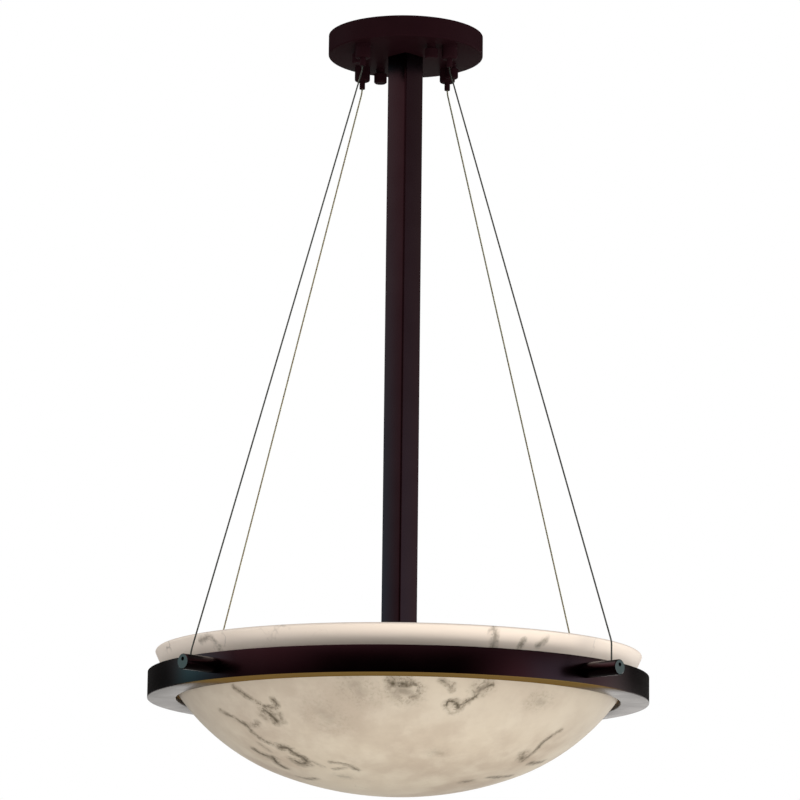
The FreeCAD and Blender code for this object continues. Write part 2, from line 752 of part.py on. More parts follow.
pin_screws = []
set_screws = []
for quarter in range(QUARTERS):
    azimuth = f"{azimuth_of(quarter)}"
    pin = new_body(f"cable_pin_{quarter + 1}")
    thread_end = "ring_radius + pin_thread_depth"
    turn(
        pin,
        [
            ("ring_radius", "pin_screw_radius + screw_fit"),
            (thread_end, "pin_screw_radius + screw_fit"),
            (thread_end, "0"),
            ("pin_end", "0"),
            ("pin_end", "pin_radius - pin_chamfer"),
            ("pin_end - pin_chamfer", "pin_radius"),
            ("ring_radius", "pin_radius"),
        ],
        "H_Axis",
    )
    cable_hole_sketch = new_sketch(pin, "XY_Plane", "pin_radius")
    add_circle(cable_hole_sketch, "cable_radius + hole_fit", "pin_cable_radius")
    pocket(pin, cable_hole_sketch, "pin_cable_depth")
    clamp_hole_sketch = new_sketch(pin, "YZ_Plane", "pin_end")
    add_circle(clamp_hole_sketch, "set_screw_radius + screw_fit", "0", "set_screw_offset")
    pocket(pin, clamp_hole_sketch, "pin_cable_inset")
    place(pin, azimuth, "0", "pin_height")
    nodes.append(pin)

    set_screw = new_body(f"pin_set_screw_{quarter + 1}")
    set_screw_start = "pin_cable_radius + cable_radius"
    set_sketch = new_sketch(set_screw, "YZ_Plane", set_screw_start)
    add_circle(set_sketch, "set_screw_radius", "0", "set_screw_offset")
    pad(set_screw, set_sketch, "set_screw_length")
    key_sketch = new_sketch(set_screw, "YZ_Plane", f"{set_screw_start} + set_screw_length")
    add_circle(key_sketch, "set_screw_key", "0", "set_screw_offset")
    pocket(set_screw, key_sketch, "set_screw_length / 2")
    place(set_screw, azimuth, "0", "pin_height")
    set_screws.append(set_screw)

    pin_screw = new_body(f"pin_screw_{quarter + 1}")
    band_seat = "sqrt((ring_radius - ring_wall) ^ 2 - pin_screw_head_radius ^ 2)"
    turn(
        pin_screw,
        [
            (f"{band_seat} - pin_screw_head", "0"),
            (f"{thread_end} - seat_fit", "0"),
            (f"{thread_end} - seat_fit", "pin_screw_radius"),
            (band_seat, "pin_screw_radius"),
            (band_seat, "pin_screw_head_radius"),
            (f"{band_seat} - pin_screw_head / 2", "pin_screw_head_radius"),
            (f"{band_seat} - pin_screw_head", "pin_screw_head_radius / 2"),
        ],
        "H_Axis",
    )
    place(pin_screw, azimuth, "0", "pin_height")
    pin_screws.append(pin_screw)
nodes.append(group("pin_screws", pin_screws))
nodes.append(group("pin_set_screws", set_screws))

# ---------------------------------------------------------------- cables
# Each runs straight down through its gripper, bends at the plunger's mouth, is pulled straight to its
# pin and bends again into the cross hole. The front right one bends higher above its pin.

CABLE_RISES = (3.0, 3.0, 3.0, 17.0)


def tangent_path(points, bend):
    """Straight runs between the points, joined by arcs of the bend radius, and the path's length."""
    edges = []
    length = 0.0
    start = points[0]
    for before, corner, after in zip(points, points[1:], points[2:]):
        way_in = (corner - before).normalize()
        way_out = (after - corner).normalize()
        turn_angle = way_in.getAngle(way_out)
        cut = bend * math.tan(turn_angle / 2)
        arc_start = corner - way_in * cut
        arc_end = corner + way_out * cut
        inward = (way_out - way_in).normalize()
        arc_middle = corner + inward * (bend / math.cos(turn_angle / 2) - bend)
        edges.append(Part.LineSegment(start, arc_start).toShape())
        edges.append(Part.Arc(arc_start, arc_middle, arc_end).toShape())
        length += (arc_start - start).Length + bend * turn_angle
        start = arc_end
    edges.append(Part.LineSegment(start, points[-1]).toShape())
    length += (points[-1] - start).Length
    return Part.Wire(edges), length


ferrules = []
for quarter, rise in enumerate(CABLE_RISES):
    azimuth = f"{azimuth_of(quarter)}"
    tail_top = value("plate_floor - seat_fit")
    upper_bend = FreeCAD.Vector(value("gripper_circle"), 0, value("plunger_tip - cable_drop"))
    pin_mouth = value("pin_height + pin_radius")
    lower_bend = FreeCAD.Vector(value("pin_cable_radius"), 0, pin_mouth + rise)
    cable_end = value("pin_height + pin_radius - pin_cable_depth + seat_fit")
    route = [
        FreeCAD.Vector(upper_bend.x, 0, tail_top - value("ferrule_length") / 2),
        upper_bend,
        lower_bend,
        FreeCAD.Vector(lower_bend.x, 0, cable_end),
    ]
    bend_radius = value("cable_bend")
    path, path_length = tangent_path(route, bend_radius)
    section = Part.Wire(Part.makeCircle(value("cable_radius"), route[0], VERTICAL))
    cable = doc.addObject("Part::Feature", f"cable_{quarter + 1}")
    cable.Label = cable.Name
    cable.Shape = path.makePipeShell([section], True, False)
    place(cable, azimuth)
    nodes.append(cable)
    swept = cable.Shape.Volume / (math.pi * value("cable_radius") ** 2 * path_length)
    print(f"{cable.Name}: length {path_length:.1f}, bends {bend_radius:.1f}, volume ratio {swept:.4f}")

    ferrule = new_body(f"cable_ferrule_{quarter + 1}")
    ferrule_top = "plate_floor - seat_fit"
    turn(
        ferrule,
        [
            ("0", ferrule_top),
            ("0", f"{ferrule_top} - ferrule_length / 2"),
            ("cable_radius + screw_fit", f"{ferrule_top} - ferrule_length / 2"),
            ("cable_radius + screw_fit", f"{ferrule_top} - ferrule_length"),
            ("ferrule_radius", f"{ferrule_top} - ferrule_length"),
            ("ferrule_radius", ferrule_top),
        ],
    )
    place(ferrule, azimuth, "gripper_circle")
    ferrules.append(ferrule)
nodes.append(group("cable_ferrules", ferrules))

# ---------------------------------------------------------------- bowl and gasket
# The bowl is a shell of even wall: a wide floor arc and a tighter side arc, with a rounded rim a little
# flatter than a half circle. It rests on a soft gasket whose inner face follows the bowl.

bowl = new_body("bowl")
inner_side_arc = "bowl_side_arc - bowl_wall"
inner_floor_arc = "bowl_floor_arc - bowl_wall"
rim_half = "bowl_wall / 2"
rim_edge = f"bowl_rim - {rim_half}"
outer_rim = f"side_centre_x + sqrt(bowl_side_arc ^ 2 - ({rim_edge} - side_centre_z) ^ 2)"
inner_rim = f"side_centre_x + sqrt(({inner_side_arc}) ^ 2 - ({rim_edge} - side_centre_z) ^ 2)"
turn(
    bowl,
    [
        ("0", "bowl_base", "bowl_floor_arc", 1),
        (
            "bowl_floor_arc * sin(bowl_turn)",
            "floor_centre_z - bowl_floor_arc * cos(bowl_turn)",
            "bowl_side_arc",
            1,
        ),
        (outer_rim, rim_edge, f"(({outer_rim}) - ({inner_rim})) * {RIM_ARC_SHARE}", 1),
        (inner_rim, rim_edge, inner_side_arc, -1),
        (
            f"({inner_floor_arc}) * sin(bowl_turn)",
            f"floor_centre_z - ({inner_floor_arc}) * cos(bowl_turn)",
            inner_floor_arc,
            -1,
        ),
        ("0", "bowl_base + bowl_wall"),
    ],
)
nodes.append(bowl)

gasket = new_body("bowl_gasket")
gasket_arc = "(bowl_side_arc + seat_fit)"
gasket_faces = [
    f"side_centre_x + sqrt({gasket_arc} ^ 2 - ({level} - side_centre_z) ^ 2)"
    for level in ("flange_top", "gasket_top")
]
turn(
    gasket,
    [
        (f"max(ring_bore_radius; {gasket_faces[0]})", "flange_top"),
        ("ring_bore_radius + gasket_width", "flange_top"),
        ("ring_bore_radius + gasket_width", "gasket_top"),
        (gasket_faces[1], "gasket_top"),
    ],
)
nodes.append(gasket)

# ---------------------------------------------------------------- checks and export

doc.recompute()
for item in doc.Objects:
    if "Invalid" in item.State or "Error" in item.State:
        raise RuntimeError(f"{item.Name} failed: {item.State}")
for node in nodes:
    shape = node.Shape
    if shape.isNull() or not shape.isValid() or not shape.Solids:
        raise RuntimeError(f"{node.Label} has no valid solid")

os.makedirs("parts", exist_ok=True)
for node in nodes:
    node.Shape.exportStep(f"parts/{node.Label}.step")
print(f"{len(nodes)} nodes, {sum(len(node.Shape.Solids) for node in nodes)} solids")
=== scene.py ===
"""The looks of the alabaster bowl pendant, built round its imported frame. Metres, +Z up, -Y to the front."""

import math

import bpy
import numpy as np
from mathutils import Matrix, Vector, noise


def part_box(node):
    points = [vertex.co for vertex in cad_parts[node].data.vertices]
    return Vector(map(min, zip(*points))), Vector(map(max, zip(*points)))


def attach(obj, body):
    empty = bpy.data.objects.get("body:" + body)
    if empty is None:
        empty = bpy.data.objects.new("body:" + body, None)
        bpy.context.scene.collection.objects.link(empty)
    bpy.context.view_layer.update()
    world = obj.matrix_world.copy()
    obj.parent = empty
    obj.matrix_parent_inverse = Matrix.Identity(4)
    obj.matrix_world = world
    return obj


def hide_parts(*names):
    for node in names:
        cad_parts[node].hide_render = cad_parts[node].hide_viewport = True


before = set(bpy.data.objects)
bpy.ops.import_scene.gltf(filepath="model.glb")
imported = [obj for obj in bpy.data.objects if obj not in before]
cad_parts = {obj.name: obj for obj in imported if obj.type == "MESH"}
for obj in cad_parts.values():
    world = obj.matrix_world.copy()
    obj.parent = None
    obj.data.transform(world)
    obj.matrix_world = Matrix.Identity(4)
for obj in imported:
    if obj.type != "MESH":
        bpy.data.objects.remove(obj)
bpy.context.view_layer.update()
scene = bpy.context.scene

# ---------------------------------------------------------------- camera
# A long lens a little over three metres away, below the bowl and tipped up at the canopy, as in the
# photograph. It comes first, because the bowl's veins are laid where it sees them.

FRAME_PIXELS = 800.0
CAMERA_PLACE = Vector((-0.0467, -3.6, -1.0572))
CAMERA_YAW = math.radians(-0.718)
CAMERA_PITCH = math.radians(10.964)
CAMERA_ROLL = math.radians(0.673)
SENSOR_WIDTH = 36.0
FOCAL_PIXELS = 3836.0
CAMERA_REACH = 60.0

camera_data = bpy.data.cameras.new("camera")
camera_data.sensor_width = SENSOR_WIDTH
camera_data.lens = SENSOR_WIDTH * FOCAL_PIXELS / FRAME_PIXELS
camera_data.clip_end = CAMERA_REACH
camera = bpy.data.objects.new("camera", camera_data)
camera.location = CAMERA_PLACE
tipped = Matrix.Rotation(CAMERA_YAW, 4, "Z") @ Matrix.Rotation(math.pi / 2 + CAMERA_PITCH, 4, "X")
camera.matrix_world = Matrix.Translation(CAMERA_PLACE) @ tipped @ Matrix.Rotation(CAMERA_ROLL, 4, "Z")
scene.collection.objects.link(camera)
scene.camera = camera


def sight_line(pixel):
    """The direction in which the camera sees a pixel of the photograph's 800 x 800 frame."""
    half = FRAME_PIXELS / 2
    ray = Vector((pixel[0] - half, half - pixel[1], -FOCAL_PIXELS)).normalized()
    return (camera.matrix_world.to_3x3() @ ray).normalized()


# ---------------------------------------------------------------- ceiling plate and its fixings
# Zinc plated steel: the round plate that is screwed to the outlet box, its welded studs, and the lock
# nuts above the canopy's floor. They keep their shapes from the frame.

ZINC_TONES = ((0.50, 0.50, 0.47), (0.66, 0.66, 0.63))

class Field:
    """A value, vector or colour that varies over a surface: one output socket in a graph of nodes."""

    def __init__(self, graph, socket):
        self.graph = graph
        self.socket = socket

    def _maths(self, operation, first, second=0.0):
        return self.graph.node("ShaderNodeMath", {"operation": operation}, {0: first, 1: second})

    def __add__(self, other):
        return self._maths("ADD", self, other)

    __radd__ = __add__

    def __sub__(self, other):
        return self._maths("SUBTRACT", self, other)

    def __rsub__(self, other):
        return self._maths("SUBTRACT", other, self)

    def __mul__(self, other):
        return self._maths("MULTIPLY", self, other)

    __rmul__ = __mul__

    def __abs__(self):
        return self._maths("ABSOLUTE", self)

    def at_most(self, other):
        return self._maths("MINIMUM", self, other)

    def at_least(self, other):
        return self._maths("MAXIMUM", self, other)

    def parts(self):
        """A vector's x, y and z."""
        return [self.graph.node("ShaderNodeSeparateXYZ", None, {0: self}, output=axis) for axis in range(3)]


class Graph:
    """A tree of shader nodes."""

    def __init__(self, tree):
        self.tree = tree

    def node(self, kind, settings=None, inputs=None, output=0):
        """A node of that kind, with its settings and its socket values or links."""
        made = self.tree.nodes.new(kind)
        for name, setting in (settings or {}).items():
            setattr(made, name, setting)
        for name, source in (inputs or {}).items():
            if isinstance(source, Field):
                self.tree.links.new(source.socket, made.inputs[name])
            else:
                made.inputs[name].default_value = source
        return Field(self, made.outputs[output])

    def mix(self, factor, first, second):
        """Two colours mixed by a factor."""
        first = first if isinstance(first, Field) else (*first, 1.0)
        second = second if isinstance(second, Field) else (*second, 1.0)
        return self.node("ShaderNodeMix", {"data_type": "RGBA"}, {0: factor, 6: first, 7: second}, output=2)

    def step(self, value, low, high):
        """0 at low and 1 at high, with a smooth way between."""
        settings = {"interpolation_type": "SMOOTHSTEP"}
        return self.node("ShaderNodeMapRange", settings, {"Value": value, "From Min": low, "From Max": high})


class Finish(Graph):
    """A material made of nodes. Its shader is one Principled BSDF."""

    def __init__(self, name):
        self.material = bpy.data.materials.new(name)
        self.material.use_nodes = True
        super().__init__(self.material.node_tree)
        self.shader = self.tree.nodes["Principled BSDF"]
        self.place = self.node("ShaderNodeTexCoord", output="Object")

    def noise(self, scale, detail=2.0, place=None, roughness=0.5):
        """Cloudy noise from 0 to 1, with that many cells to the metre."""
        inputs = {"Vector": place or self.place, "Scale": scale, "Detail": detail, "Roughness": roughness}
        return self.node("ShaderNodeTexNoise", None, inputs)

    def stretched(self, factors):
        """The surface's place, scaled along each axis, to draw a pattern out."""
        return self.node("ShaderNodeMapping", None, {"Vector": self.place, "Scale": factors})

    def attribute(self, name):
        """A number painted on the mesh's points."""
        return self.node("ShaderNodeAttribute", {"attribute_name": name}, None, output="Fac")

    def bump(self, height, distance):
        """Raises the surface by a height field, in metres."""
        self.feed("Normal", self.node("ShaderNodeBump", None, {"Height": height, "Distance": distance}))

    def feed(self, socket, source):
        """Links a field into the shader, or sets the shader's own socket to one number or colour."""
        if isinstance(source, Field):
            self.tree.links.new(source.socket, self.shader.inputs[socket])
        elif isinstance(source, tuple) and len(source) == 3:
            self.shader.inputs[socket].default_value = (*source, 1.0)
        else:
            self.shader.inputs[socket].default_value = source


def zinc_plate():
    """Bright zinc over steel, with the faint cloudiness that plating has."""
    finish = Finish("zinc_plate")
    clouds = finish.noise(140.0, 4.0)
    finish.feed("Base Color", finish.mix(clouds, *ZINC_TONES))
    finish.feed("Metallic", 1.0)
    finish.feed("Roughness", 0.26 + 0.2 * clouds)
    finish.bump(finish.noise(900.0, 3.0), 0.00004)
    return finish.material


def dress(material, *nodes):
    """Gives frame nodes a material."""
    for node in nodes:
        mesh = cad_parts[node].data
        mesh.materials.clear()
        mesh.materials.append(material)


PLATED = (
    "ceiling_plate",
    "plate_studs",
    "gripper_lock_nuts",
    "top_lock_nut",
    "hub_lock_nut",
    "socket_lock_nuts",
    "pin_screws",
    "pin_set_screws",
    "cable_ferrules",
    "stem_top_plug",
    "stem_bottom_plug",
)
dress(zinc_plate(), *PLATED)

# ---------------------------------------------------------------- canopy
# A spun steel cup in satin dark bronze, a purple brown lacquer. Its lower edge is rolled over a small
# radius. The glossier lacquer of stem, ring and pins is nearly black where it mirrors nothing bright.

BRONZE_DEEP = (0.0155, 0.0048, 0.0066)
BRONZE_WARM = (0.0215, 0.0078, 0.0100)
# the amber of a painted reflection of the bowl, on the ring flange's lower face
AMBER_PAINTED_REFLECTION = (0.15, 0.092, 0.028)
SATIN_DEEP = (0.0115, 0.0034, 0.0048)
SATIN_WARM = (0.0165, 0.0052, 0.0070)
LACQUER_GLOSS = 0.16
ON_AXIS = 1e-7


def dark_bronze(name, painted_reflection_at=None):
    """Glossy dark bronze lacquer with a fine grain. Where the given mask says so, a painted reflection: plain
    amber colour, neither metallic nor specular.
    """
    finish = Finish(name)
    clouds = finish.noise(34.0, 5.0)
    marks = finish.noise(900.0, 3.0)
    lacquer = finish.mix(clouds, BRONZE_DEEP, BRONZE_WARM)
    if painted_reflection_at:
        # painted reflection: amber colour where the mask is, neither metallic nor specular
        reflected = painted_reflection_at(finish)
        finish.feed("Base Color", finish.mix(reflected, lacquer, AMBER_PAINTED_REFLECTION))
        finish.feed("Metallic", 1.0 - reflected)
        finish.feed("Specular IOR Level", 0.0)
    else:
        finish.feed("Base Color", lacquer)
        finish.feed("Metallic", 1.0)
    finish.feed("Roughness", LACQUER_GLOSS + 0.1 * clouds + 0.05 * marks)
    finish.bump(marks, 0.000012)
    return finish.material


def satin_bronze(name, brush=(1.0, 1.0, 1.0)):
    """The satin lacquer of the cup and its small fittings. Brush draws its fine marks out along an axis."""
    finish = Finish(name)
    clouds = finish.noise(40.0, 5.0)
    marks = finish.noise(900.0, 3.0, finish.stretched(brush))
    finish.feed("Base Color", finish.mix(clouds, SATIN_DEEP, SATIN_WARM))
    finish.feed("Roughness", 0.42 + 0.1 * clouds + 0.08 * marks)
    finish.feed("Specular IOR Level", 0.012)
    finish.bump(marks, 0.00002)
    return finish.material


def filleted(corners, steps=5):
    """A profile through (r, z) or (r, z, fillet radius) corners, with the fillets as short runs."""
    points = []
    for index, corner in enumerate(corners):
        here = Vector(corner[:2])
        if len(corner) == 2 or index in (0, len(corners) - 1):
            points.append(here)
            continue
        back = (Vector(corners[index - 1][:2]) - here).normalized()
        ahead = (Vector(corners[index + 1][:2]) - here).normalized()
        half = back.angle(ahead) / 2
        centre = here + (back + ahead).normalized() * (corner[2] / math.sin(half))
        cut = corner[2] / math.tan(half)
        first, last = here + back * cut - centre, here + ahead * cut - centre
        sweep = first.angle_signed(last)
        for step in range(steps + 1):
            turn = Matrix.Rotation(-sweep * step / steps, 2)
            points.append(centre + turn @ first)
    return points


def new_mesh(name, vertices, faces, material, smooth_angle=32.0):
    """A mesh object, smooth except at its sharp edges."""
    mesh = bpy.data.meshes.new(name)
    mesh.from_pydata([tuple(vertex) for vertex in vertices], [], faces)
    mesh.validate()
    mesh.shade_smooth()
    mesh.set_sharp_from_angle(angle=math.radians(smooth_angle))
    mesh.materials.append(material)
    made = bpy.data.objects.new(name, mesh)
    scene.collection.objects.link(made)
    return made


def evenly(count):
    """Angles evenly spaced round a full turn."""
    return [2 * math.pi * index / count for index in range(count)]


def turned(name, profile, material, angles, closed=True, along="Z", radius_at=None, smooth_angle=32.0):
    """A profile of (radius, height) points turned about an axis, with a section at each of the angles.

    A point on the axis is one pole vertex. radius_at, if given, changes a radius by (radius, angle), for
    a knurl. A closed profile's last point joins its first.
    """
    vertices, rings = [], []
    for radius, height in profile:
        if radius < ON_AXIS:
            rings.append([len(vertices)])
            vertices.append((0.0, 0.0, height))
            continue
        ring = []
        for angle in angles:
            reach = radius_at(radius, angle) if radius_at else radius
            ring.append(len(vertices))
            vertices.append((reach * math.cos(angle), reach * math.sin(angle), height))
        rings.append(ring)
    faces = []
    pairs = list(zip(rings, rings[1:]))
    if closed:
        pairs.append((rings[-1], rings[0]))
    for lower, upper in pairs:
        for index in range(len(angles)):
            following = (index + 1) % len(angles)
            if len(lower) == 1 and len(upper) == 1:
                continue
            if len(lower) == 1:
                faces.append((lower[0], upper[following], upper[index]))
            elif len(upper) == 1:
                faces.append((lower[index], lower[following], upper[0]))
            else:
                faces.append((lower[index], lower[following], upper[following], upper[index]))
    if along == "X":
        vertices = [(height, across, up) for across, up, height in vertices]
    return new_mesh(name, vertices, faces, material, smooth_angle)


def stand(piece, place=(0.0, 0.0, 0.0), azimuth=0.0):
    """Moves a piece's own mesh to its place, turned about the vertical."""
    turn = Matrix.Rotation(math.radians(azimuth), 4, "Z")
    piece.data.transform(Matrix.Translation(Vector(place)) @ turn)


def keep(piece, body, slot, *nodes):
    """Rides a piece on its body and hides the frame nodes that it stands for. Its slot is not used."""
    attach(piece, body)
    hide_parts(*nodes)


CANOPY_RADIUS = 0.075
CANOPY_WALL = 0.0015
CANOPY_EDGE = 0.0014
NIPPLE_HOLE = 0.0052

canopy_low, canopy_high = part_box("canopy")
canopy_floor = canopy_low[2]
canopy = turned(
    "canopy_cup",
    filleted(
        [
            (CANOPY_RADIUS - CANOPY_WALL, canopy_high[2]),
            (CANOPY_RADIUS - CANOPY_WALL, canopy_floor + CANOPY_WALL),
            (NIPPLE_HOLE, canopy_floor + CANOPY_WALL),
            (NIPPLE_HOLE, canopy_floor),
            (CANOPY_RADIUS, canopy_floor, CANOPY_EDGE),
            (CANOPY_RADIUS, canopy_high[2], 0.0),
        ]
    ),
    satin_bronze("satin_bronze"),
    evenly(192),
)
keep(canopy, "fixture", "bronze", "canopy")

# ---------------------------------------------------------------- thumb nuts
# Turned blind nuts with a narrow neck. A straight knurl round the body gives the fingers a hold, and
# both rims are chamfered.

QUARTERS = 4
FIRST_AZIMUTH = 45.0
QUARTER_TURN = 90.0
STUD_AZIMUTH = 27.7
STUD_CIRCLE = 0.0515
NUT_RADIUS = 0.00625
NUT_CHAMFER = 0.001
NUT_NECK_RADIUS = 0.0042
NUT_NECK = 0.004
NUT_BORE = 0.00206
NUT_ROOF = 0.003
KNURL_COUNT = 36
KNURL_STEPS = 4
KNURL_DEPTH = 0.00022

turned_bronze = satin_bronze("turned_satin_bronze", brush=(1.0, 1.0, 12.0))


def knurl(radius, angle):
    """Straight flutes on the nut's widest part."""
    if radius < NUT_RADIUS:
        return radius
    return radius - KNURL_DEPTH * (0.5 - 0.5 * math.cos(KNURL_COUNT * angle))


for quarter in range(QUARTERS):
    low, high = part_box(f"thumb_nut_{quarter + 1}")
    neck_base = high[2] - NUT_NECK
    nut = turned(
        f"thumb_nut_turned_{quarter + 1}",
        [
            (NUT_BORE, high[2]),
            (NUT_BORE, low[2] + NUT_ROOF),
            (0.0, low[2] + NUT_ROOF),
            (0.0, low[2]),
            (NUT_RADIUS - NUT_CHAMFER, low[2]),
            (NUT_RADIUS, low[2] + NUT_CHAMFER),
            (NUT_RADIUS, neck_base - NUT_CHAMFER),
            (NUT_RADIUS - NUT_CHAMFER, neck_base),
            (NUT_NECK_RADIUS, neck_base),
            (NUT_NECK_RADIUS, high[2]),
        ],
        turned_bronze,
        evenly(KNURL_COUNT * KNURL_STEPS),
        radius_at=knurl,
    )
    turn = math.radians(STUD_AZIMUTH + QUARTER_TURN * quarter)
    stand(nut, (STUD_CIRCLE * math.cos(turn), STUD_CIRCLE * math.sin(turn), 0.0))
    keep(nut, f"thumb_nut_{quarter + 1}", "bronze_turned", f"thumb_nut_{quarter + 1}")

# ---------------------------------------------------------------- cable grippers
# Turned barrels held through the canopy by a threaded spigot and a nut. The thin plunger below is
# pushed up to free the cable, and has a rounded mouth that the cable bends over.

GRIPPER_CIRCLE = 0.059
GRIPPER_RADIUS = 0.0075
GRIPPER_LENGTH = 0.0136
GRIPPER_EDGE = 0.002
GRIPPER_GROOVE = 0.0003
GROOVE_DROP = 0.003
SPIGOT_RADIUS = 0.004
CHAMBER_RADIUS = 0.0046
CHAMBER_HEIGHT = 0.008
GRIPPER_FLOOR = 0.0026
PLUNGER_RADIUS = 0.00275
PLUNGER_COLLAR_RADIUS = 0.0042
PLUNGER_COLLAR = 0.0016
PLUNGER_REACH = 0.0078
PLUNGER_MOUTH = 0.0005
CABLE_BORE = 0.0012
RUNNING_FIT = 0.00006

gripper_base = canopy_floor - GRIPPER_LENGTH
chamber_floor = gripper_base + GRIPPER_FLOOR
for quarter in range(QUARTERS):
    azimuth = math.radians(FIRST_AZIMUTH + QUARTER_TURN * quarter)
    place = (GRIPPER_CIRCLE * math.cos(azimuth), GRIPPER_CIRCLE * math.sin(azimuth), 0.0)
    low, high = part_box(f"gripper_body_{quarter + 1}")
    groove = canopy_floor - GROOVE_DROP
    barrel = turned(
        f"gripper_barrel_{quarter + 1}",
        filleted(
            [
                (CABLE_BORE, high[2]),
                (CABLE_BORE, chamber_floor + CHAMBER_HEIGHT),
                (CHAMBER_RADIUS, chamber_floor + CHAMBER_HEIGHT),
                (CHAMBER_RADIUS, chamber_floor),
                (PLUNGER_RADIUS + RUNNING_FIT, chamber_floor),
                (PLUNGER_RADIUS + RUNNING_FIT, gripper_base),
                (GRIPPER_RADIUS, gripper_base, GRIPPER_EDGE),
                (GRIPPER_RADIUS, groove - GRIPPER_GROOVE),
                (GRIPPER_RADIUS - GRIPPER_GROOVE, groove),
                (GRIPPER_RADIUS, groove + GRIPPER_GROOVE),
                (GRIPPER_RADIUS, canopy_floor),
                (SPIGOT_RADIUS, canopy_floor),
                (SPIGOT_RADIUS, high[2]),
            ]
        ),
        turned_bronze,
        evenly(64),
    )
    stand(barrel, place)
    keep(barrel, "fixture", "bronze_turned", f"gripper_body_{quarter + 1}")

    tip = gripper_base - PLUNGER_REACH
    plunger = turned(
        f"plunger_turned_{quarter + 1}",
        filleted(
            [
                (CABLE_BORE, tip + PLUNGER_MOUTH * 2),
                (CABLE_BORE, tip, PLUNGER_MOUTH),
                (PLUNGER_RADIUS, tip, PLUNGER_MOUTH),
                (PLUNGER_RADIUS, chamber_floor),
                (PLUNGER_COLLAR_RADIUS, chamber_floor),
                (PLUNGER_COLLAR_RADIUS, chamber_floor + PLUNGER_COLLAR),
                (CABLE_BORE, chamber_floor + PLUNGER_COLLAR),
            ]
        ),
        turned_bronze,
        evenly(48),
    )
    stand(plunger, place)
    keep(plunger, f"gripper_plunger_{quarter + 1}", "bronze_turned", f"gripper_plunger_{quarter + 1}")

# ---------------------------------------------------------------- stem
# A square steel tube, turned corner to the front, in the glossier lacquer. The wires run inside it from
# a nipple through the canopy to the lamp hub.

STEM_SIDE = 0.025
STEM_CORNER = 0.002
STEM_WALL = 0.0015
CORNER_STEPS = 6
BRASS_TONES = ((0.50, 0.34, 0.13), (0.68, 0.49, 0.22))


def rounded_square(half, corner):
    """The outline of a square about the axis with rounded corners, turned 45 degrees."""
    points = []
    for quarter in range(QUARTERS):
        for step in range(CORNER_STEPS + 1):
            angle = math.radians(QUARTER_TURN * (quarter + step / CORNER_STEPS))
            reach = Vector((math.cos(angle), math.sin(angle))) * corner
            signs = ((1, 1), (-1, 1), (-1, -1), (1, -1))[quarter]
            points.append(Vector(signs) * (half - corner) + reach)
    turn = Matrix.Rotation(math.radians(FIRST_AZIMUTH), 2)
    return [turn @ point for point in points]


def square_tube(name, low, high, material):
    """A square tube between two heights, with open ends and an even wall."""
    outer = rounded_square(STEM_SIDE / 2, STEM_CORNER)
    inner = rounded_square(STEM_SIDE / 2 - STEM_WALL, STEM_CORNER - STEM_WALL / 2)
    loops = [(outer, low), (outer, high), (inner, high), (inner, low)]
    vertices = [(point.x, point.y, height) for outline, height in loops for point in outline]
    count = len(outer)
    faces = []
    for loop in range(len(loops)):
        for index in range(count):
            following = (index + 1) % count
            upper = (loop + 1) % len(loops)
            faces.append(
                (
                    loop * count + index,
                    loop * count + following,
                    upper * count + following,
                    upper * count + index,
                )
            )
    return new_mesh(name, vertices, faces, material, smooth_angle=25.0)


bronze = dark_bronze("bronze_lacquer")
stem_low, stem_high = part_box("stem")
stem = square_tube("stem_tube", stem_low[2], stem_high[2], bronze)
keep(stem, "fixture", "bronze", "stem")


def turned_brass():
    """Plain brass with faint turning marks."""
    finish = Finish("turned_brass")
    marks = finish.noise(500.0, 3.0, finish.stretched((1.0, 1.0, 14.0)))
    finish.feed("Base Color", finish.mix(marks, *BRASS_TONES))
    finish.feed("Metallic", 1.0)
    finish.feed("Roughness", 0.24 + 0.14 * marks)
    finish.bump(marks, 0.00003)
    return finish.material


dress(turned_brass(), "top_nipple", "hub_nipple", "socket_contacts")

# ---------------------------------------------------------------- lamp hub
# A pressed steel box and its cover, in white enamel so that it throws the light back into the bowl.

ENAMEL_TONES = ((0.66, 0.63, 0.57), (0.74, 0.72, 0.67))

def white_enamel():
    """Stoved enamel with a slight orange peel."""
    finish = Finish("white_enamel")
    clouds = finish.noise(60.0, 3.0)
    finish.feed("Base Color", finish.mix(clouds, *ENAMEL_TONES))
    finish.feed("Roughness", 0.3 + 0.12 * clouds)
    finish.bump(finish.noise(700.0, 2.0), 0.00003)
    return finish.material


dress(white_enamel(), "socket_hub", "hub_cover")

# ---------------------------------------------------------------- lamp sockets and lamps
# Glazed porcelain sockets with a thickened mouth and foot. Each takes a lamp with a rolled screw cap and
# a frosted glass envelope, which glows a little.

HUB_HALF = 0.03
SOCKET_SPIGOT = 0.007
SOCKET_RADIUS = 0.018
SOCKET_BACK = HUB_HALF + 0.009
SOCKET_FOOT = 0.007
SOCKET_LIP = 0.006
SOCKET_LIP_SLOPE = 0.0015
SOCKET_LIP_EDGE = 0.0015
SOCKET_RIB = 0.0006
SOCKET_WAIST = 0.001
CAP_RADIUS = 0.0131
CAP_LENGTH = 0.024
CAP_SHOWING = 0.001
CONTACT_HEIGHT = 0.003
TIP_LENGTH = 0.003
TIP_RADIUS = 0.0045
NECK_RADIUS = 0.014
LAMP_RADIUS = 0.03
LAMP_LENGTH = 0.106
LAMP_GLASS = 0.0012
NIPPLE_RADIUS = 0.005
NIPPLE_BORE = 0.0036
THREADS = 7
THREAD_DEPTH = 0.0007
THREAD_STEPS = 8
GLOBE_STEPS = 16
GLOBE_END = math.radians(120.0)
LAMP_STEPS = 72
PORCELAIN_TONES = ((0.70, 0.66, 0.58), (0.78, 0.75, 0.69))
CAP_TONES = ((0.52, 0.52, 0.50), (0.70, 0.70, 0.68))
GLASS_TONES = ((0.74, 0.70, 0.62), (0.80, 0.78, 0.72))
GLOW_TONES = ((1.0, 0.82, 0.56), (1.0, 0.88, 0.66))
GLOW_STRENGTH = 0.35

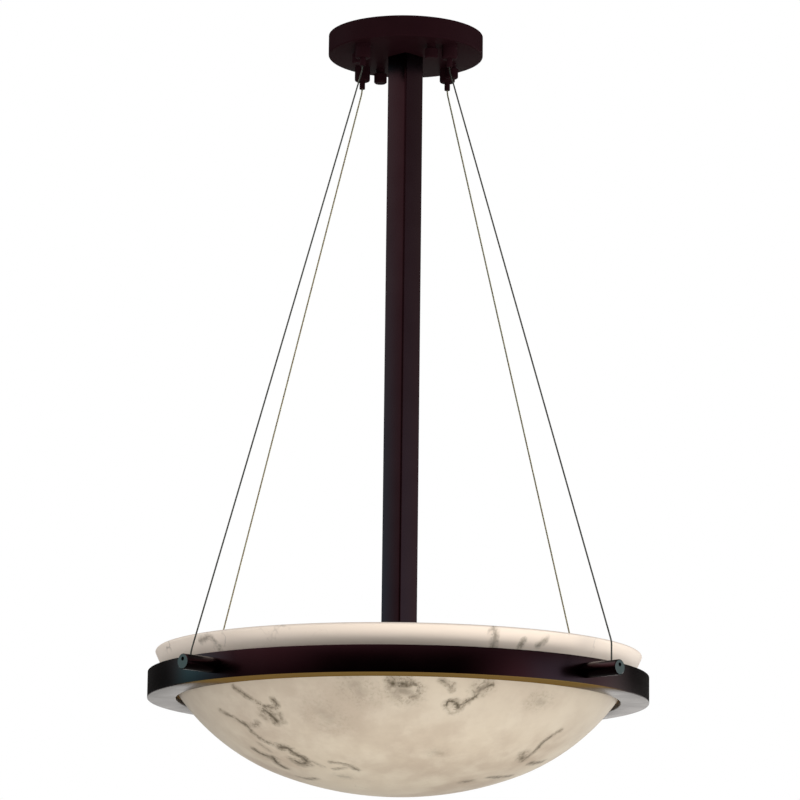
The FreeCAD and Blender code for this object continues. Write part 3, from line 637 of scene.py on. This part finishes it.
lamp_start = SOCKET_BACK + CONTACT_HEIGHT
cap_start = lamp_start + TIP_LENGTH
lamp_neck = cap_start + CAP_LENGTH
lamp_end = lamp_start + LAMP_LENGTH
lamp_centre = lamp_end - LAMP_RADIUS
socket_mouth = lamp_neck - CAP_SHOWING
lip_end = socket_mouth - SOCKET_LIP


def glazed_porcelain():
    """White porcelain under a clear glaze."""
    finish = Finish("glazed_porcelain")
    clouds = finish.noise(45.0, 3.0)
    finish.feed("Base Color", finish.mix(clouds, *PORCELAIN_TONES))
    finish.feed("Roughness", 0.12 + 0.08 * clouds)
    finish.bump(finish.noise(260.0, 2.0), 0.00004)
    return finish.material


def rolled_cap():
    """Thin rolled aluminium, slightly dulled."""
    finish = Finish("rolled_cap")
    marks = finish.noise(420.0, 3.0)
    finish.feed("Base Color", finish.mix(marks, *CAP_TONES))
    finish.feed("Metallic", 1.0)
    finish.feed("Roughness", 0.28 + 0.15 * marks)
    return finish.material


def frosted_glass():
    """Opal coated lamp glass with a soft warm glow."""
    finish = Finish("frosted_lamp_glass")
    clouds = finish.noise(55.0, 3.0)
    finish.feed("Base Color", finish.mix(clouds, *GLASS_TONES))
    finish.feed("Roughness", 0.3 + 0.1 * clouds)
    finish.feed("Emission Color", finish.mix(clouds, *GLOW_TONES))
    finish.feed("Emission Strength", GLOW_STRENGTH)
    return finish.material


def globe(radius, start, stop):
    """Points round the lamp's globe, between two angles from its crown."""
    angles = [start + (stop - start) * step / GLOBE_STEPS for step in range(GLOBE_STEPS + 1)]
    return [(radius * math.sin(angle), lamp_centre + radius * math.cos(angle)) for angle in angles]


def cap_profile():
    """The rolled screw cap: the contact's tip, a cone, then a wave for the thread."""
    points = [(0.0, lamp_start), (TIP_RADIUS, lamp_start), (CAP_RADIUS - TIP_LENGTH, cap_start)]
    steps = THREADS * THREAD_STEPS
    for step in range(steps + 1):
        share = step / steps
        wave = 0.5 - 0.5 * math.cos(2 * math.pi * THREADS * share)
        points.append((CAP_RADIUS - THREAD_DEPTH + THREAD_DEPTH * wave, cap_start + CAP_LENGTH * share))
    points.append((0.0, lamp_neck))
    return points


porcelain, cap_metal, lamp_glass = glazed_porcelain(), rolled_cap(), frosted_glass()
socket_bore = CAP_RADIUS + RUNNING_FIT
for quarter in range(QUARTERS):
    azimuth = FIRST_AZIMUTH + QUARTER_TURN * quarter
    low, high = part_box(f"lamp_glass_{quarter + 1}")
    place = (0.0, 0.0, (low[2] + high[2]) / 2)
    socket = turned(
        f"porcelain_socket_{quarter + 1}",
        filleted(
            [
                (NIPPLE_BORE, HUB_HALF - SOCKET_SPIGOT),
                (NIPPLE_BORE, SOCKET_BACK),
                (socket_bore, SOCKET_BACK),
                (socket_bore, socket_mouth),
                (SOCKET_RADIUS, socket_mouth, SOCKET_LIP_EDGE),
                (SOCKET_RADIUS, lip_end, SOCKET_RIB),
                (SOCKET_RADIUS - SOCKET_WAIST, lip_end - SOCKET_LIP_SLOPE, SOCKET_RIB),
                (SOCKET_RADIUS - SOCKET_WAIST, SOCKET_BACK, SOCKET_RIB),
                (SOCKET_RADIUS, HUB_HALF + SOCKET_FOOT, SOCKET_RIB),
                (SOCKET_RADIUS, HUB_HALF),
                (NIPPLE_RADIUS, HUB_HALF),
                (NIPPLE_RADIUS, HUB_HALF - SOCKET_SPIGOT),
            ]
        ),
        porcelain,
        evenly(LAMP_STEPS),
        along="X",
    )
    cap = turned(f"screw_cap_{quarter + 1}", cap_profile(), cap_metal, evenly(LAMP_STEPS), False, "X")
    neck = [(NECK_RADIUS, lamp_neck), (NECK_RADIUS - LAMP_GLASS, lamp_neck)]
    profile = globe(LAMP_RADIUS, 0.0, GLOBE_END) + neck + globe(LAMP_RADIUS - LAMP_GLASS, GLOBE_END, 0.0)
    glass = turned(f"lamp_envelope_{quarter + 1}", profile, lamp_glass, evenly(LAMP_STEPS), False, "X")
    for piece in (socket, cap, glass):
        stand(piece, place, azimuth)
    keep(socket, "fixture", "socket_porcelain", f"lamp_socket_{quarter + 1}")
    keep(cap, f"lamp_{quarter + 1}", "lamp_cap_metal", f"lamp_cap_{quarter + 1}")
    keep(glass, f"lamp_{quarter + 1}", "lamp_glass", f"lamp_glass_{quarter + 1}")

# ---------------------------------------------------------------- ring
# A rolled hoop of L section in the stem's lacquer: a band that the cables lift and a flange that the
# bowl sits on, over an amber silicone gasket. Its edges are eased.

RING_RADIUS = 0.236
RING_WALL = 0.004
RING_BORE = 0.2092
FLANGE = 0.0045
RING_EDGE = 0.0006
SILICONE_TONES = ((0.20, 0.11, 0.03), (0.30, 0.17, 0.05))
# the flange's lower face in front is painted amber, a painted reflection of the shaded bowl wall: its reach
# forward and its height
REFLECTION_FRONT = (0.10, 0.16)
REFLECTION_HEIGHT = (0.0003, 0.0009)
ring_low, ring_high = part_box("ring")


def front_underside_reflection(finish):
    """The flange's lower face towards the front: the mask of a painted reflection of the shaded bowl wall in
    the gap.
    """
    _, backward, height = finish.place.parts()
    above = finish.step(height - ring_low[2], *REFLECTION_HEIGHT)
    return finish.step(0.0 - backward, *REFLECTION_FRONT) * (1.0 - above)


ring = turned(
    "ring_hoop",
    filleted(
        [
            (RING_BORE, ring_low[2] + FLANGE / 2),
            (RING_BORE, ring_low[2], RING_EDGE),
            (RING_RADIUS, ring_low[2], RING_EDGE),
            (RING_RADIUS, ring_high[2], RING_EDGE),
            (RING_RADIUS - RING_WALL, ring_high[2], RING_EDGE),
            (RING_RADIUS - RING_WALL, ring_low[2] + FLANGE, RING_EDGE),
            (RING_BORE, ring_low[2] + FLANGE, RING_EDGE),
            (RING_BORE, ring_low[2] + FLANGE / 2),
        ]
    )[:-1],
    dark_bronze("ring_lacquer", front_underside_reflection),
    evenly(360),
)
keep(ring, "fixture", "bronze", "ring")


def amber_silicone():
    """Soft clear brown silicone."""
    finish = Finish("amber_silicone")
    clouds = finish.noise(80.0, 2.0)
    finish.feed("Base Color", finish.mix(clouds, *SILICONE_TONES))
    finish.feed("Roughness", 0.4 + 0.15 * clouds)
    finish.bump(finish.noise(500.0, 2.0), 0.00005)
    return finish.material


dress(amber_silicone(), "bowl_gasket")

# ---------------------------------------------------------------- cable pins
# Turned pins screwed to the ring from inside. Each has a cross hole for its cable and, a little above
# the middle of its end face, the small hole of the screw that clamps the cable.

PIN_RADIUS = 0.007
PIN_LENGTH = 0.04
PIN_CHAMFER = 0.0006
CLAMP_HOLE = 0.0018
CLAMP_OFFSET = 0.0023
CLAMP_DEPTH = 0.005
PIN_CABLE_INSET = 0.01
END_STEPS = 48
PIN_END_TONES = ((0.045, 0.046, 0.046), (0.075, 0.074, 0.074))

pin_height = (ring_low[2] + ring_high[2]) / 2
pin_end = RING_RADIUS + PIN_LENGTH
pin_cable_radius = pin_end - PIN_CABLE_INSET


def bare_end():
    """The pins' sawn and ground end faces: darkened steel."""
    finish = Finish("bare_pin_end")
    marks = finish.noise(600.0, 4.0)
    finish.feed("Base Color", finish.mix(marks, *PIN_END_TONES))
    finish.feed("Metallic", 1.0)
    finish.feed("Roughness", 0.3 + 0.2 * marks)
    finish.bump(marks, 0.00003)
    return finish.material


def pin_mesh(name, material, end_material):
    """The pin along X, with its clamp hole sunk in the end face."""
    loops = [
        (RING_RADIUS, PIN_RADIUS, 0.0),
        (pin_end - PIN_CHAMFER, PIN_RADIUS, 0.0),
        (pin_end, PIN_RADIUS - PIN_CHAMFER, 0.0),
        (pin_end, CLAMP_HOLE, CLAMP_OFFSET),
        (pin_end - CLAMP_DEPTH, CLAMP_HOLE, CLAMP_OFFSET),
    ]
    vertices = [(RING_RADIUS, 0.0, 0.0)]
    for along, reach, lift in loops:
        for angle in evenly(END_STEPS):
            vertices.append((along, reach * math.cos(angle), lift + reach * math.sin(angle)))
    vertices.append((pin_end - CLAMP_DEPTH, 0.0, CLAMP_OFFSET))
    faces = []
    for loop in range(len(loops) - 1):
        for index in range(END_STEPS):
            first = 1 + loop * END_STEPS + index
            second = 1 + loop * END_STEPS + (index + 1) % END_STEPS
            faces.append((first, first + END_STEPS, second + END_STEPS, second))
    last = 1 + (len(loops) - 1) * END_STEPS
    for index in range(END_STEPS):
        following = (index + 1) % END_STEPS
        faces.append((0, 1 + index, 1 + following))
        faces.append((last + index, len(vertices) - 1, last + following))
    pin = new_mesh(name, vertices, faces, material)
    pin.data.materials.append(end_material)
    for polygon in pin.data.polygons:
        if polygon.center.x > pin_end - PIN_CHAMFER / 4:
            polygon.material_index = 1
    return pin


end_steel = bare_end()
for quarter in range(QUARTERS):
    pin = pin_mesh(f"pin_turned_{quarter + 1}", bronze, end_steel)
    stand(pin, (0.0, 0.0, pin_height), FIRST_AZIMUTH + QUARTER_TURN * quarter)
    keep(pin, "fixture", "bronze_turned", f"cable_pin_{quarter + 1}")

# ---------------------------------------------------------------- cables
# Stranded stainless rope of six strands round a core, pulled tight between gripper and pin. It bends at the
# plunger's mouth and again above the pin, the front right one higher. The front pair is painted darker and
# the back pair golden: painted reflections of the dark surround and of the lit bowl.

CABLE_RADIUS = 0.0008
CABLE_DROP = 0.0026
CABLE_RISES = (0.003, 0.003, 0.003, 0.017)
NEAR_BEND = 0.008
TAIL_TOP = -0.0048
CABLE_END = 0.0022
STRANDS = 6
STRAND_RADIUS = 0.00029
STRAND_SIDES = 5
CORE_SHARE = 0.62
PIN_ENTRY = 0.004
LAY_LENGTH = 0.0095
STEPS_PER_LAY = 10
# painted reflections: dark for the front pair, golden for the back pair, which mirrors the lit bowl
NEAR_CABLE_REFLECTION_TONES = ((0.055, 0.055, 0.05), (0.12, 0.12, 0.105))
FAR_CABLE_REFLECTION_TONES = ((0.42, 0.34, 0.21), (0.60, 0.50, 0.32))

plunger_tip = gripper_base - PLUNGER_REACH


def stranded_steel(name, tones):
    """Drawn wire, a little darkened in places."""
    finish = Finish(name)
    clouds = finish.noise(70.0, 3.0)
    finish.feed("Base Color", finish.mix(clouds, *tones))
    finish.feed("Metallic", 1.0)
    finish.feed("Roughness", 0.3 + 0.2 * clouds)
    finish.bump(finish.noise(1500.0, 2.0), 0.00002)
    return finish.material


def rope_line(route):
    """Evenly spaced points on the smooth curve whose control points are the route."""
    curve = bpy.data.curves.new("route", "CURVE")
    curve.dimensions = "3D"
    spline = curve.splines.new("NURBS")
    spline.points.add(len(route) - 1)
    for point, place in zip(spline.points, route):
        point.co = (*place, 1.0)
    spline.order_u = 3
    spline.use_endpoint_u = True
    spline.resolution_u = 16
    holder = bpy.data.objects.new("route", curve)
    scene.collection.objects.link(holder)
    read = bpy.data.meshes.new_from_object(holder)
    points = np.array([vertex.co for vertex in read.vertices])
    bpy.data.objects.remove(holder)
    bpy.data.meshes.remove(read)
    bpy.data.curves.remove(curve)
    reach = np.concatenate([[0.0], np.cumsum(np.linalg.norm(np.diff(points, axis=0), axis=1))])
    stops = np.linspace(0.0, reach[-1], int(reach[-1] / LAY_LENGTH * STEPS_PER_LAY) + 1)
    return np.column_stack([np.interp(stops, reach, points[:, axis]) for axis in range(3)]), stops


def rope(name, route, material):
    """Six strands laid round a core along the route, which lies in one upright plane."""
    line, stops = rope_line(route)
    along = np.gradient(line, axis=0)
    along /= np.linalg.norm(along, axis=1)[:, None]
    side = np.array([0.0, 1.0, 0.0])
    up = np.cross(along, side)
    vertices, faces = [], []
    for strand in range(STRANDS + 1):
        offset = 0.0 if strand == STRANDS else CABLE_RADIUS - STRAND_RADIUS
        radius = CABLE_RADIUS * CORE_SHARE if strand == STRANDS else STRAND_RADIUS
        lay = 2 * np.pi * (strand / STRANDS + stops / LAY_LENGTH)
        centre = line + offset * (np.cos(lay)[:, None] * side + np.sin(lay)[:, None] * up)
        first = len(vertices)
        for start in evenly(STRAND_SIDES):
            angle = start + lay
            ring = centre + radius * (np.cos(angle)[:, None] * side + np.sin(angle)[:, None] * up)
            vertices.extend(ring.tolist())
        count = len(line)
        for index in range(STRAND_SIDES):
            here, there = first + index * count, first + (index + 1) % STRAND_SIDES * count
            faces.extend((here + k, there + k, there + k + 1, here + k + 1) for k in range(count - 1))
        ends = [first + index * count for index in range(STRAND_SIDES)]
        faces.append(tuple(ends))
        faces.append(tuple(end + count - 1 for end in reversed(ends)))
    return new_mesh(name, vertices, faces, material, smooth_angle=80.0)


near_cable_reflected = stranded_steel("cable_steel_front", NEAR_CABLE_REFLECTION_TONES)
far_cable_reflected = stranded_steel("cable_steel_back", FAR_CABLE_REFLECTION_TONES)
for quarter, rise in enumerate(CABLE_RISES):
    upper = Vector((GRIPPER_CIRCLE, 0.0, plunger_tip - CABLE_DROP))
    lower = Vector((pin_cable_radius, 0.0, pin_height + PIN_RADIUS + rise))
    pull = (lower - upper).normalized()
    route = [
        Vector((GRIPPER_CIRCLE, 0.0, TAIL_TOP)),
        Vector((GRIPPER_CIRCLE, 0.0, plunger_tip + NEAR_BEND)),
        upper,
        upper + pull * NEAR_BEND,
        lower - pull * NEAR_BEND,
        lower,
        Vector((pin_cable_radius, 0.0, lower.z - PIN_ENTRY)),
        Vector((pin_cable_radius, 0.0, pin_height - CABLE_END)),
    ]
    # the back pair gets the golden painted reflection, the front pair the dark one
    material = far_cable_reflected if quarter < 2 else near_cable_reflected
    cable = rope(f"steel_rope_{quarter + 1}", route, material)
    stand(cable, azimuth=FIRST_AZIMUTH + QUARTER_TURN * quarter)
    keep(cable, "fixture", "cable_steel", f"cable_{quarter + 1}")

# ---------------------------------------------------------------- bowl
# Alabaster, ground to an even shell: a wide floor arc, a tighter side arc and a rounded rim. The stone
# is honed cream with clouds, and grey brown veins that gather in patches, as in the photograph.

BOWL_FLOOR_ARC = 0.323
BOWL_SIDE_ARC = 0.205
BOWL_WALL = 0.005
BOWL_RIM_RADIUS = 0.2302
BOWL_DEPTH = 0.134
RIM_LIFT = 0.77
FRONT_MIDDLE = 270.0
FRONT_WIDTH = 150.0
FINE_STEP = 0.45
COARSE_STEP = 2.0
OUTSIDE_STEPS = (60, 112)
INSIDE_STEPS = (14, 20)
RIM_STEPS = 12

bowl_low, bowl_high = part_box("bowl")
bowl_base = bowl_low[2]
arc_difference = BOWL_FLOOR_ARC - BOWL_SIDE_ARC
rim_reach = math.hypot(BOWL_RIM_RADIUS, BOWL_FLOOR_ARC - BOWL_DEPTH)
rim_angle = math.atan2(BOWL_RIM_RADIUS, BOWL_FLOOR_ARC - BOWL_DEPTH)
turn_cosine = (rim_reach**2 + arc_difference**2 - BOWL_SIDE_ARC**2) / (2 * arc_difference * rim_reach)
bowl_turn = rim_angle - math.acos(turn_cosine)
floor_centre = Vector((0.0, BOWL_FLOOR_ARC))
side_centre = floor_centre + Vector((math.sin(bowl_turn), -math.cos(bowl_turn))) * arc_difference
rim_edge = BOWL_DEPTH - BOWL_WALL / 2


def wall_profile(inset, stop, steps):
    """The bowl's profile at a depth in its wall, from the axis up to a height over its base."""
    floor_steps, side_steps = steps
    floor_radius, side_radius = BOWL_FLOOR_ARC - inset, BOWL_SIDE_ARC - inset
    last = math.acos((side_centre.y - stop) / side_radius)
    points = []
    for step in range(floor_steps + 1):
        angle = bowl_turn * step / floor_steps
        points.append(floor_centre + Vector((math.sin(angle), -math.cos(angle))) * floor_radius)
    for step in range(1, side_steps + 1):
        angle = bowl_turn + (last - bowl_turn) * step / side_steps
        points.append(side_centre + Vector((math.sin(angle), -math.cos(angle))) * side_radius)
    return points


outside = wall_profile(0.0, rim_edge, OUTSIDE_STEPS)
inside = wall_profile(BOWL_WALL, rim_edge, INSIDE_STEPS)
rim_middle = (outside[-1] + inside[-1]) / 2
rim_half = (outside[-1] - inside[-1]).length / 2
rim = []
for step in range(1, RIM_STEPS):
    angle = math.pi * step / RIM_STEPS
    rim.append(rim_middle + Vector((rim_half * math.cos(angle), rim_half * RIM_LIFT * math.sin(angle))))
bowl_profile = [(point.x, bowl_base + point.y) for point in outside + rim + inside[::-1]]

# Vein strokes, drawn through pixels of the photograph's frame: the way, half width in mm, darkness.
VEIN_STROKES = (
    (((235, 687), (245, 695), (255, 701), (265, 706), (274, 707), (276, 703), (273, 700)), 1.2, 0.75),
    (((265, 711), (271, 715), (276, 721)), 2.2, 0.85),
    (((279, 714), (282, 720)), 1.6, 0.6),
    (((257, 722), (253, 726)), 1.4, 0.55),
    (((262, 716), (265, 719)), 1.8, 0.35),
    (((222, 712), (234, 718), (248, 725), (254, 733), (262, 740), (274, 745)), 1.3, 0.7),
    (((279, 747), (288, 748), (295, 754), (304, 758), (308, 762)), 2.0, 0.85),
    (((295, 761), (301, 764), (307, 763)), 2.6, 0.75),
    (((312, 761), (324, 767)), 1.2, 0.4),
    (((255, 750), (262, 754), (274, 758), (279, 764), (286, 768)), 1.9, 0.8),
    (((261, 745), (268, 750)), 1.4, 0.35),
    (((331, 762), (336, 763), (348, 765), (356, 770)), 1.3, 0.65),
    (((335, 769), (346, 768)), 1.1, 0.55),
    (((299, 777), (306, 779), (315, 778)), 1.5, 0.6),
    (((340, 776), (348, 777)), 3.0, 0.25),
    (((354, 685), (362, 691)), 7.0, 0.22),
    (((322, 712), (330, 718)), 8.0, 0.14),
    (((393, 683), (400, 684), (406, 685)), 3.4, 0.9),
    (((411, 682), (420, 687), (416, 695), (411, 697)), 1.7, 0.75),
    (((388, 686), (391, 692), (400, 697)), 2.2, 0.35),
    (((398, 690), (408, 692)), 5.0, 0.4),
    (((442, 680), (448, 685)), 1.3, 0.65),
    (((453, 685), (450, 688), (451, 691)), 1.2, 0.7),
    (((445, 706), (447, 702), (455, 702), (459, 705), (468, 702)), 1.2, 0.9),
    (((468, 702), (477, 696), (484, 688), (492, 684)), 1.2, 0.9),
    (((479, 690), (486, 685)), 3.2, 0.6),
    (((456, 703), (459, 707)), 1.8, 0.85),
    (((446, 709), (450, 713), (457, 711)), 1.2, 0.35),
    (((560, 731), (550, 736), (543, 742), (538, 748), (530, 755), (522, 761)), 1.3, 0.75),
    (((524, 753), (522, 759)), 2.2, 0.6),
    (((530, 763), (536, 763), (542, 762)), 1.6, 0.7),
    (((490, 777), (502, 777), (510, 776)), 1.6, 0.7),
    (((463, 782), (471, 781)), 2.0, 0.5),
    (((433, 753), (442, 754)), 3.0, 0.15),
    (((535, 700), (543, 702)), 4.0, 0.25),
    (((200, 641), (210, 636), (218, 645), (220, 650)), 1.2, 0.45),
    (((493, 630), (494, 641), (492, 650)), 1.3, 0.5),
    (((519, 646), (524, 641)), 1.2, 0.55),
    (((538, 645), (546, 640)), 1.2, 0.5),
)
MILLIMETRES = 1000.0
MAX_SIGHT_STEPS = 60
VEIN_LIMIT = 30.0
# slow and quick wanderings of the strokes: cells to the metre, and reach in metres
VEIN_SEED = 1
WANDER_SCALE = 55.0
WANDER = 0.0022
SHAKE_SCALE = 260.0
SHAKE = 0.0011
STONE_DEEP = (0.47, 0.385, 0.30)
STONE_PALE = (0.60, 0.52, 0.41)
STONE_LIGHT = (0.66, 0.59, 0.48)
# painted light: the colour that pales the rim above the ring
STONE_RIM_PAINTED_LIGHT = (0.90, 0.78, 0.68)
STONE_SHADED = (0.44, 0.385, 0.32)
SHADED_HEIGHTS = (-0.715, -0.665)
LIT_RIM_HEIGHTS = (-0.636, -0.612)
VEIN_SMOKE = (0.27, 0.225, 0.17)
VEIN_DARK = (0.085, 0.066, 0.042)


def wall_distance(place):
    """How far a place is outside the bowl's outer face."""
    radius, rise = math.hypot(place.x, place.y), place.z - bowl_base
    angle = math.atan2(radius, BOWL_FLOOR_ARC - rise)
    if angle < bowl_turn:
        return (Vector((radius, rise)) - floor_centre).length - BOWL_FLOOR_ARC
    return (Vector((radius, rise)) - side_centre).length - BOWL_SIDE_ARC


def on_bowl(pixel):
    """The place on the bowl's outer face that the camera sees at a pixel, or the nearest that it passes."""
    ray = sight_line(pixel)
    place = CAMERA_PLACE.copy()
    for _ in range(MAX_SIGHT_STEPS):
        place += ray * wall_distance(place)
    return place


def paint_veins(piece):
    """Stores each point's distance from its nearest stroke, in half widths, and the stroke's darkness."""
    noise.seed_set(VEIN_SEED)
    points = np.array([vertex.co for vertex in piece.data.vertices])
    drift = [noise.noise_vector(vertex.co * WANDER_SCALE) for vertex in piece.data.vertices]
    shake = [noise.noise_vector(vertex.co * SHAKE_SCALE) for vertex in piece.data.vertices]
    points += np.array(drift) * WANDER + np.array(shake) * SHAKE
    distance = np.full(len(points), VEIN_LIMIT)
    darkness = np.zeros(len(points))
    for way, half_width, dark in VEIN_STROKES:
        line = [np.array(on_bowl(pixel)) for pixel in way]
        for start, end in zip(line, line[1:]):
            span = end - start
            share = np.clip((points - start) @ span / (span @ span), 0.0, 1.0)
            offset = points - (start + share[:, None] * span)
            here = np.linalg.norm(offset, axis=1) * MILLIMETRES / half_width
            darkness = np.where(here < distance, dark, darkness)
            distance = np.minimum(here, distance)
    for name, numbers in (("vein_distance", distance), ("vein_dark", darkness)):
        layer = piece.data.attributes.new(name, "FLOAT", "POINT")
        layer.data.foreach_set("value", numbers.astype(np.float32))


def alabaster():
    """Honed cream stone: clouds, broken veins along the painted strokes, and fainter ones elsewhere."""
    finish = Finish("veined_alabaster")
    clouds = finish.noise(11.0, 5.0, roughness=0.6)
    haze = finish.noise(38.0, 5.0, roughness=0.62)
    height = finish.place.parts()[2]
    # deep and pale clouds, with painted shade under the ring and painted light that pales the rim
    stone = finish.mix(finish.step(clouds, 0.34, 0.66), STONE_DEEP, STONE_PALE)
    stone = finish.mix(0.5 * finish.step(haze, 0.4, 0.7), stone, STONE_LIGHT)
    # painted shade: the stone darkened in a band under the ring
    stone = finish.mix(0.4 * finish.step(height, *SHADED_HEIGHTS), stone, STONE_SHADED)
    # painted light that pales the rim above the ring
    stone = finish.mix(0.85 * finish.step(height, *LIT_RIM_HEIGHTS), stone, STONE_RIM_PAINTED_LIGHT)
    # veins along the strokes: a broken line, flecks beside it and smoke round both
    distance, dark = finish.attribute("vein_distance"), finish.attribute("vein_dark")
    distance = distance * (0.65 + 0.8 * finish.noise(190.0, 4.0))
    line = 1.0 - finish.step(distance, 0.1, 1.5)
    broken = 0.4 + 0.6 * finish.step(finish.noise(130.0, 4.0), 0.36, 0.56)
    flecks = finish.step(finish.noise(330.0, 5.0, roughness=0.65), 0.46, 0.62)
    near = 1.0 - finish.step(distance, 0.5, 4.6)
    drawn = (line * broken).at_least(0.75 * near * flecks) * dark * 1.15
    smoke = near * (0.3 + 0.7 * finish.step(finish.noise(85.0, 4.0), 0.30, 0.58)) * dark
    # veins where no stroke is drawn: ridges of a slow noise, gathered in a few patches
    ridge = 1.0 - finish.step(abs(finish.noise(15.0, 4.0, roughness=0.6) - 0.5), 0.0, 0.016)
    gathered = finish.step(finish.noise(5.5, 2.0), 0.56, 0.68)
    faint = ridge * gathered * finish.step(haze, 0.42, 0.62) * 0.45
    veined = finish.mix(smoke.at_most(1.0), stone, VEIN_SMOKE)
    veined = finish.mix(drawn.at_least(faint).at_most(1.0), veined, VEIN_DARK)
    finish.feed("Base Color", veined)
    finish.feed("Roughness", 0.36 + 0.2 * haze)
    finish.feed("Specular IOR Level", 0.3)
    finish.bump(finish.noise(160.0, 4.0), 0.00010)
    return finish.material


def bowl_angles():
    """Angles round the bowl, closer together in front, where the painted veins need them."""
    angles = [0.0]
    while angles[-1] < 360.0 - COARSE_STEP:
        in_front = abs(angles[-1] - FRONT_MIDDLE) < FRONT_WIDTH / 2
        angles.append(angles[-1] + (FINE_STEP if in_front else COARSE_STEP))
    return [math.radians(angle) for angle in angles]


bowl = turned("alabaster_bowl", bowl_profile, alabaster(), bowl_angles(), closed=False, smooth_angle=60.0)
paint_veins(bowl)
keep(bowl, "bowl", "alabaster", "bowl")

# ---------------------------------------------------------------- stage and light
# A pale floor far below, a white surround, and soft light. The lacquer mirrors a dark band behind the
# camera and paler sides, as the photograph's studio had.

FLOOR_DROP = 1.9
FLOOR_REACH = 40.0
FLOOR_COLOUR = (0.80, 0.80, 0.80)
LIGHT_AIM = Vector((0.0, 0.0, -0.55))


def pale_floor():
    """Matt pale floor."""
    finish = Finish("pale_floor")
    finish.feed("Base Color", FLOOR_COLOUR)
    finish.feed("Roughness", 0.9)
    return finish.material


floor = new_mesh(
    "floor",
    [(x * FLOOR_REACH, y * FLOOR_REACH, -FLOOR_DROP) for x, y in ((-1, -1), (1, -1), (1, 1), (-1, 1))],
    [(0, 1, 2, 3)],
    pale_floor(),
)
floor.visible_glossy = False


def soft_light(name, place, size, power, colour=(1.0, 1.0, 1.0)):
    """A square area light that looks at the middle of the pendant and isn't mirrored in it."""
    data = bpy.data.lights.new(name, "AREA")
    data.size = size
    data.energy = power
    data.color = colour
    made = bpy.data.objects.new(name, data)
    made.location = place
    made.rotation_euler = (LIGHT_AIM - made.location).to_track_quat("-Z", "Y").to_euler()
    made.visible_glossy = False
    scene.collection.objects.link(made)


soft_light("key_light", (2.6, -1.0, -0.4), 1.6, 36.0)
soft_light("fill_light", (-2.5, -1.3, -0.5), 1.8, 22.0)
soft_light("low_light", (0.3, -1.0, -1.75), 1.3, 20.0, (1.0, 0.95, 0.87))

# What the lacquer mirrors, by direction: dark behind the camera, behind the pendant and low down, pale
# at the sides, brighter high on the left and low on the right, with a cool patch to each side.
PATHS = ("Camera", "Transmission", "Glossy")
AMBIENT = 0.52
SIDE_LEVEL = 1.1
SIDE_TILT = 5.0
TILT_HEIGHT = 0.19
LEVEL_LIMITS = (0.3, 2.2)
LOW_LEVEL = 0.09
BEHIND_SHARE = 0.97
COOL = (1.0, 3.2, 3.4)
WARM_WHITE = (1.0, 0.97, 0.93)
COOL_PATCHES = ((Vector((-0.96, 0.22, 0.12)), 1.0), (Vector((0.97, -0.22, 0.12)), 0.4))

world = bpy.data.worlds.new("surround")
scene.world = world
world.use_nodes = True
world.cycles.sampling_method = "NONE"
sky = Graph(world.node_tree)
background = sky.tree.nodes["Background"]
direction = sky.node("ShaderNodeTexCoord", output="Generated")
sideways, away, upward = direction.parts()
front = sky.step(away, -0.90, -0.52).at_least(sky.step(upward, 0.18, 0.30))
above_floor = sky.step(upward, -0.27, -0.15)
level = SIDE_LEVEL - SIDE_TILT * (sideways * (upward - TILT_HEIGHT))
behind = sky.step(away, 0.25, 0.68) * sky.step(upward, -0.05, 0.03)
level = level.at_least(LEVEL_LIMITS[0]).at_most(LEVEL_LIMITS[1]) * front * (1.0 - BEHIND_SHARE * behind)
level = level * above_floor + LOW_LEVEL * (1.0 - above_floor)
mirrored = WARM_WHITE
near_horizon = 1.0 - sky.step(upward, 0.15, 0.24)
for centre, amount in COOL_PATCHES:
    dot = {"operation": "DOT_PRODUCT"}
    towards = sky.node("ShaderNodeVectorMath", dot, {0: direction, 1: centre}, "Value")
    mirrored = sky.mix(sky.step(towards, 0.93, 0.99) * near_horizon * amount, mirrored, COOL)
path = {name: sky.node("ShaderNodeLightPath", output=f"Is {name} Ray") for name in PATHS}
plain = path["Camera"].at_least(path["Transmission"])
glossy = path["Glossy"] * (1.0 - plain)
strength = plain + glossy * level + AMBIENT * (1.0 - plain) * (1.0 - path["Glossy"])
sky.tree.links.new(sky.mix(glossy, (1.0, 1.0, 1.0), mirrored).socket, background.inputs["Color"])
sky.tree.links.new(strength.socket, background.inputs["Strength"])

scene.view_settings.view_transform = "Standard"
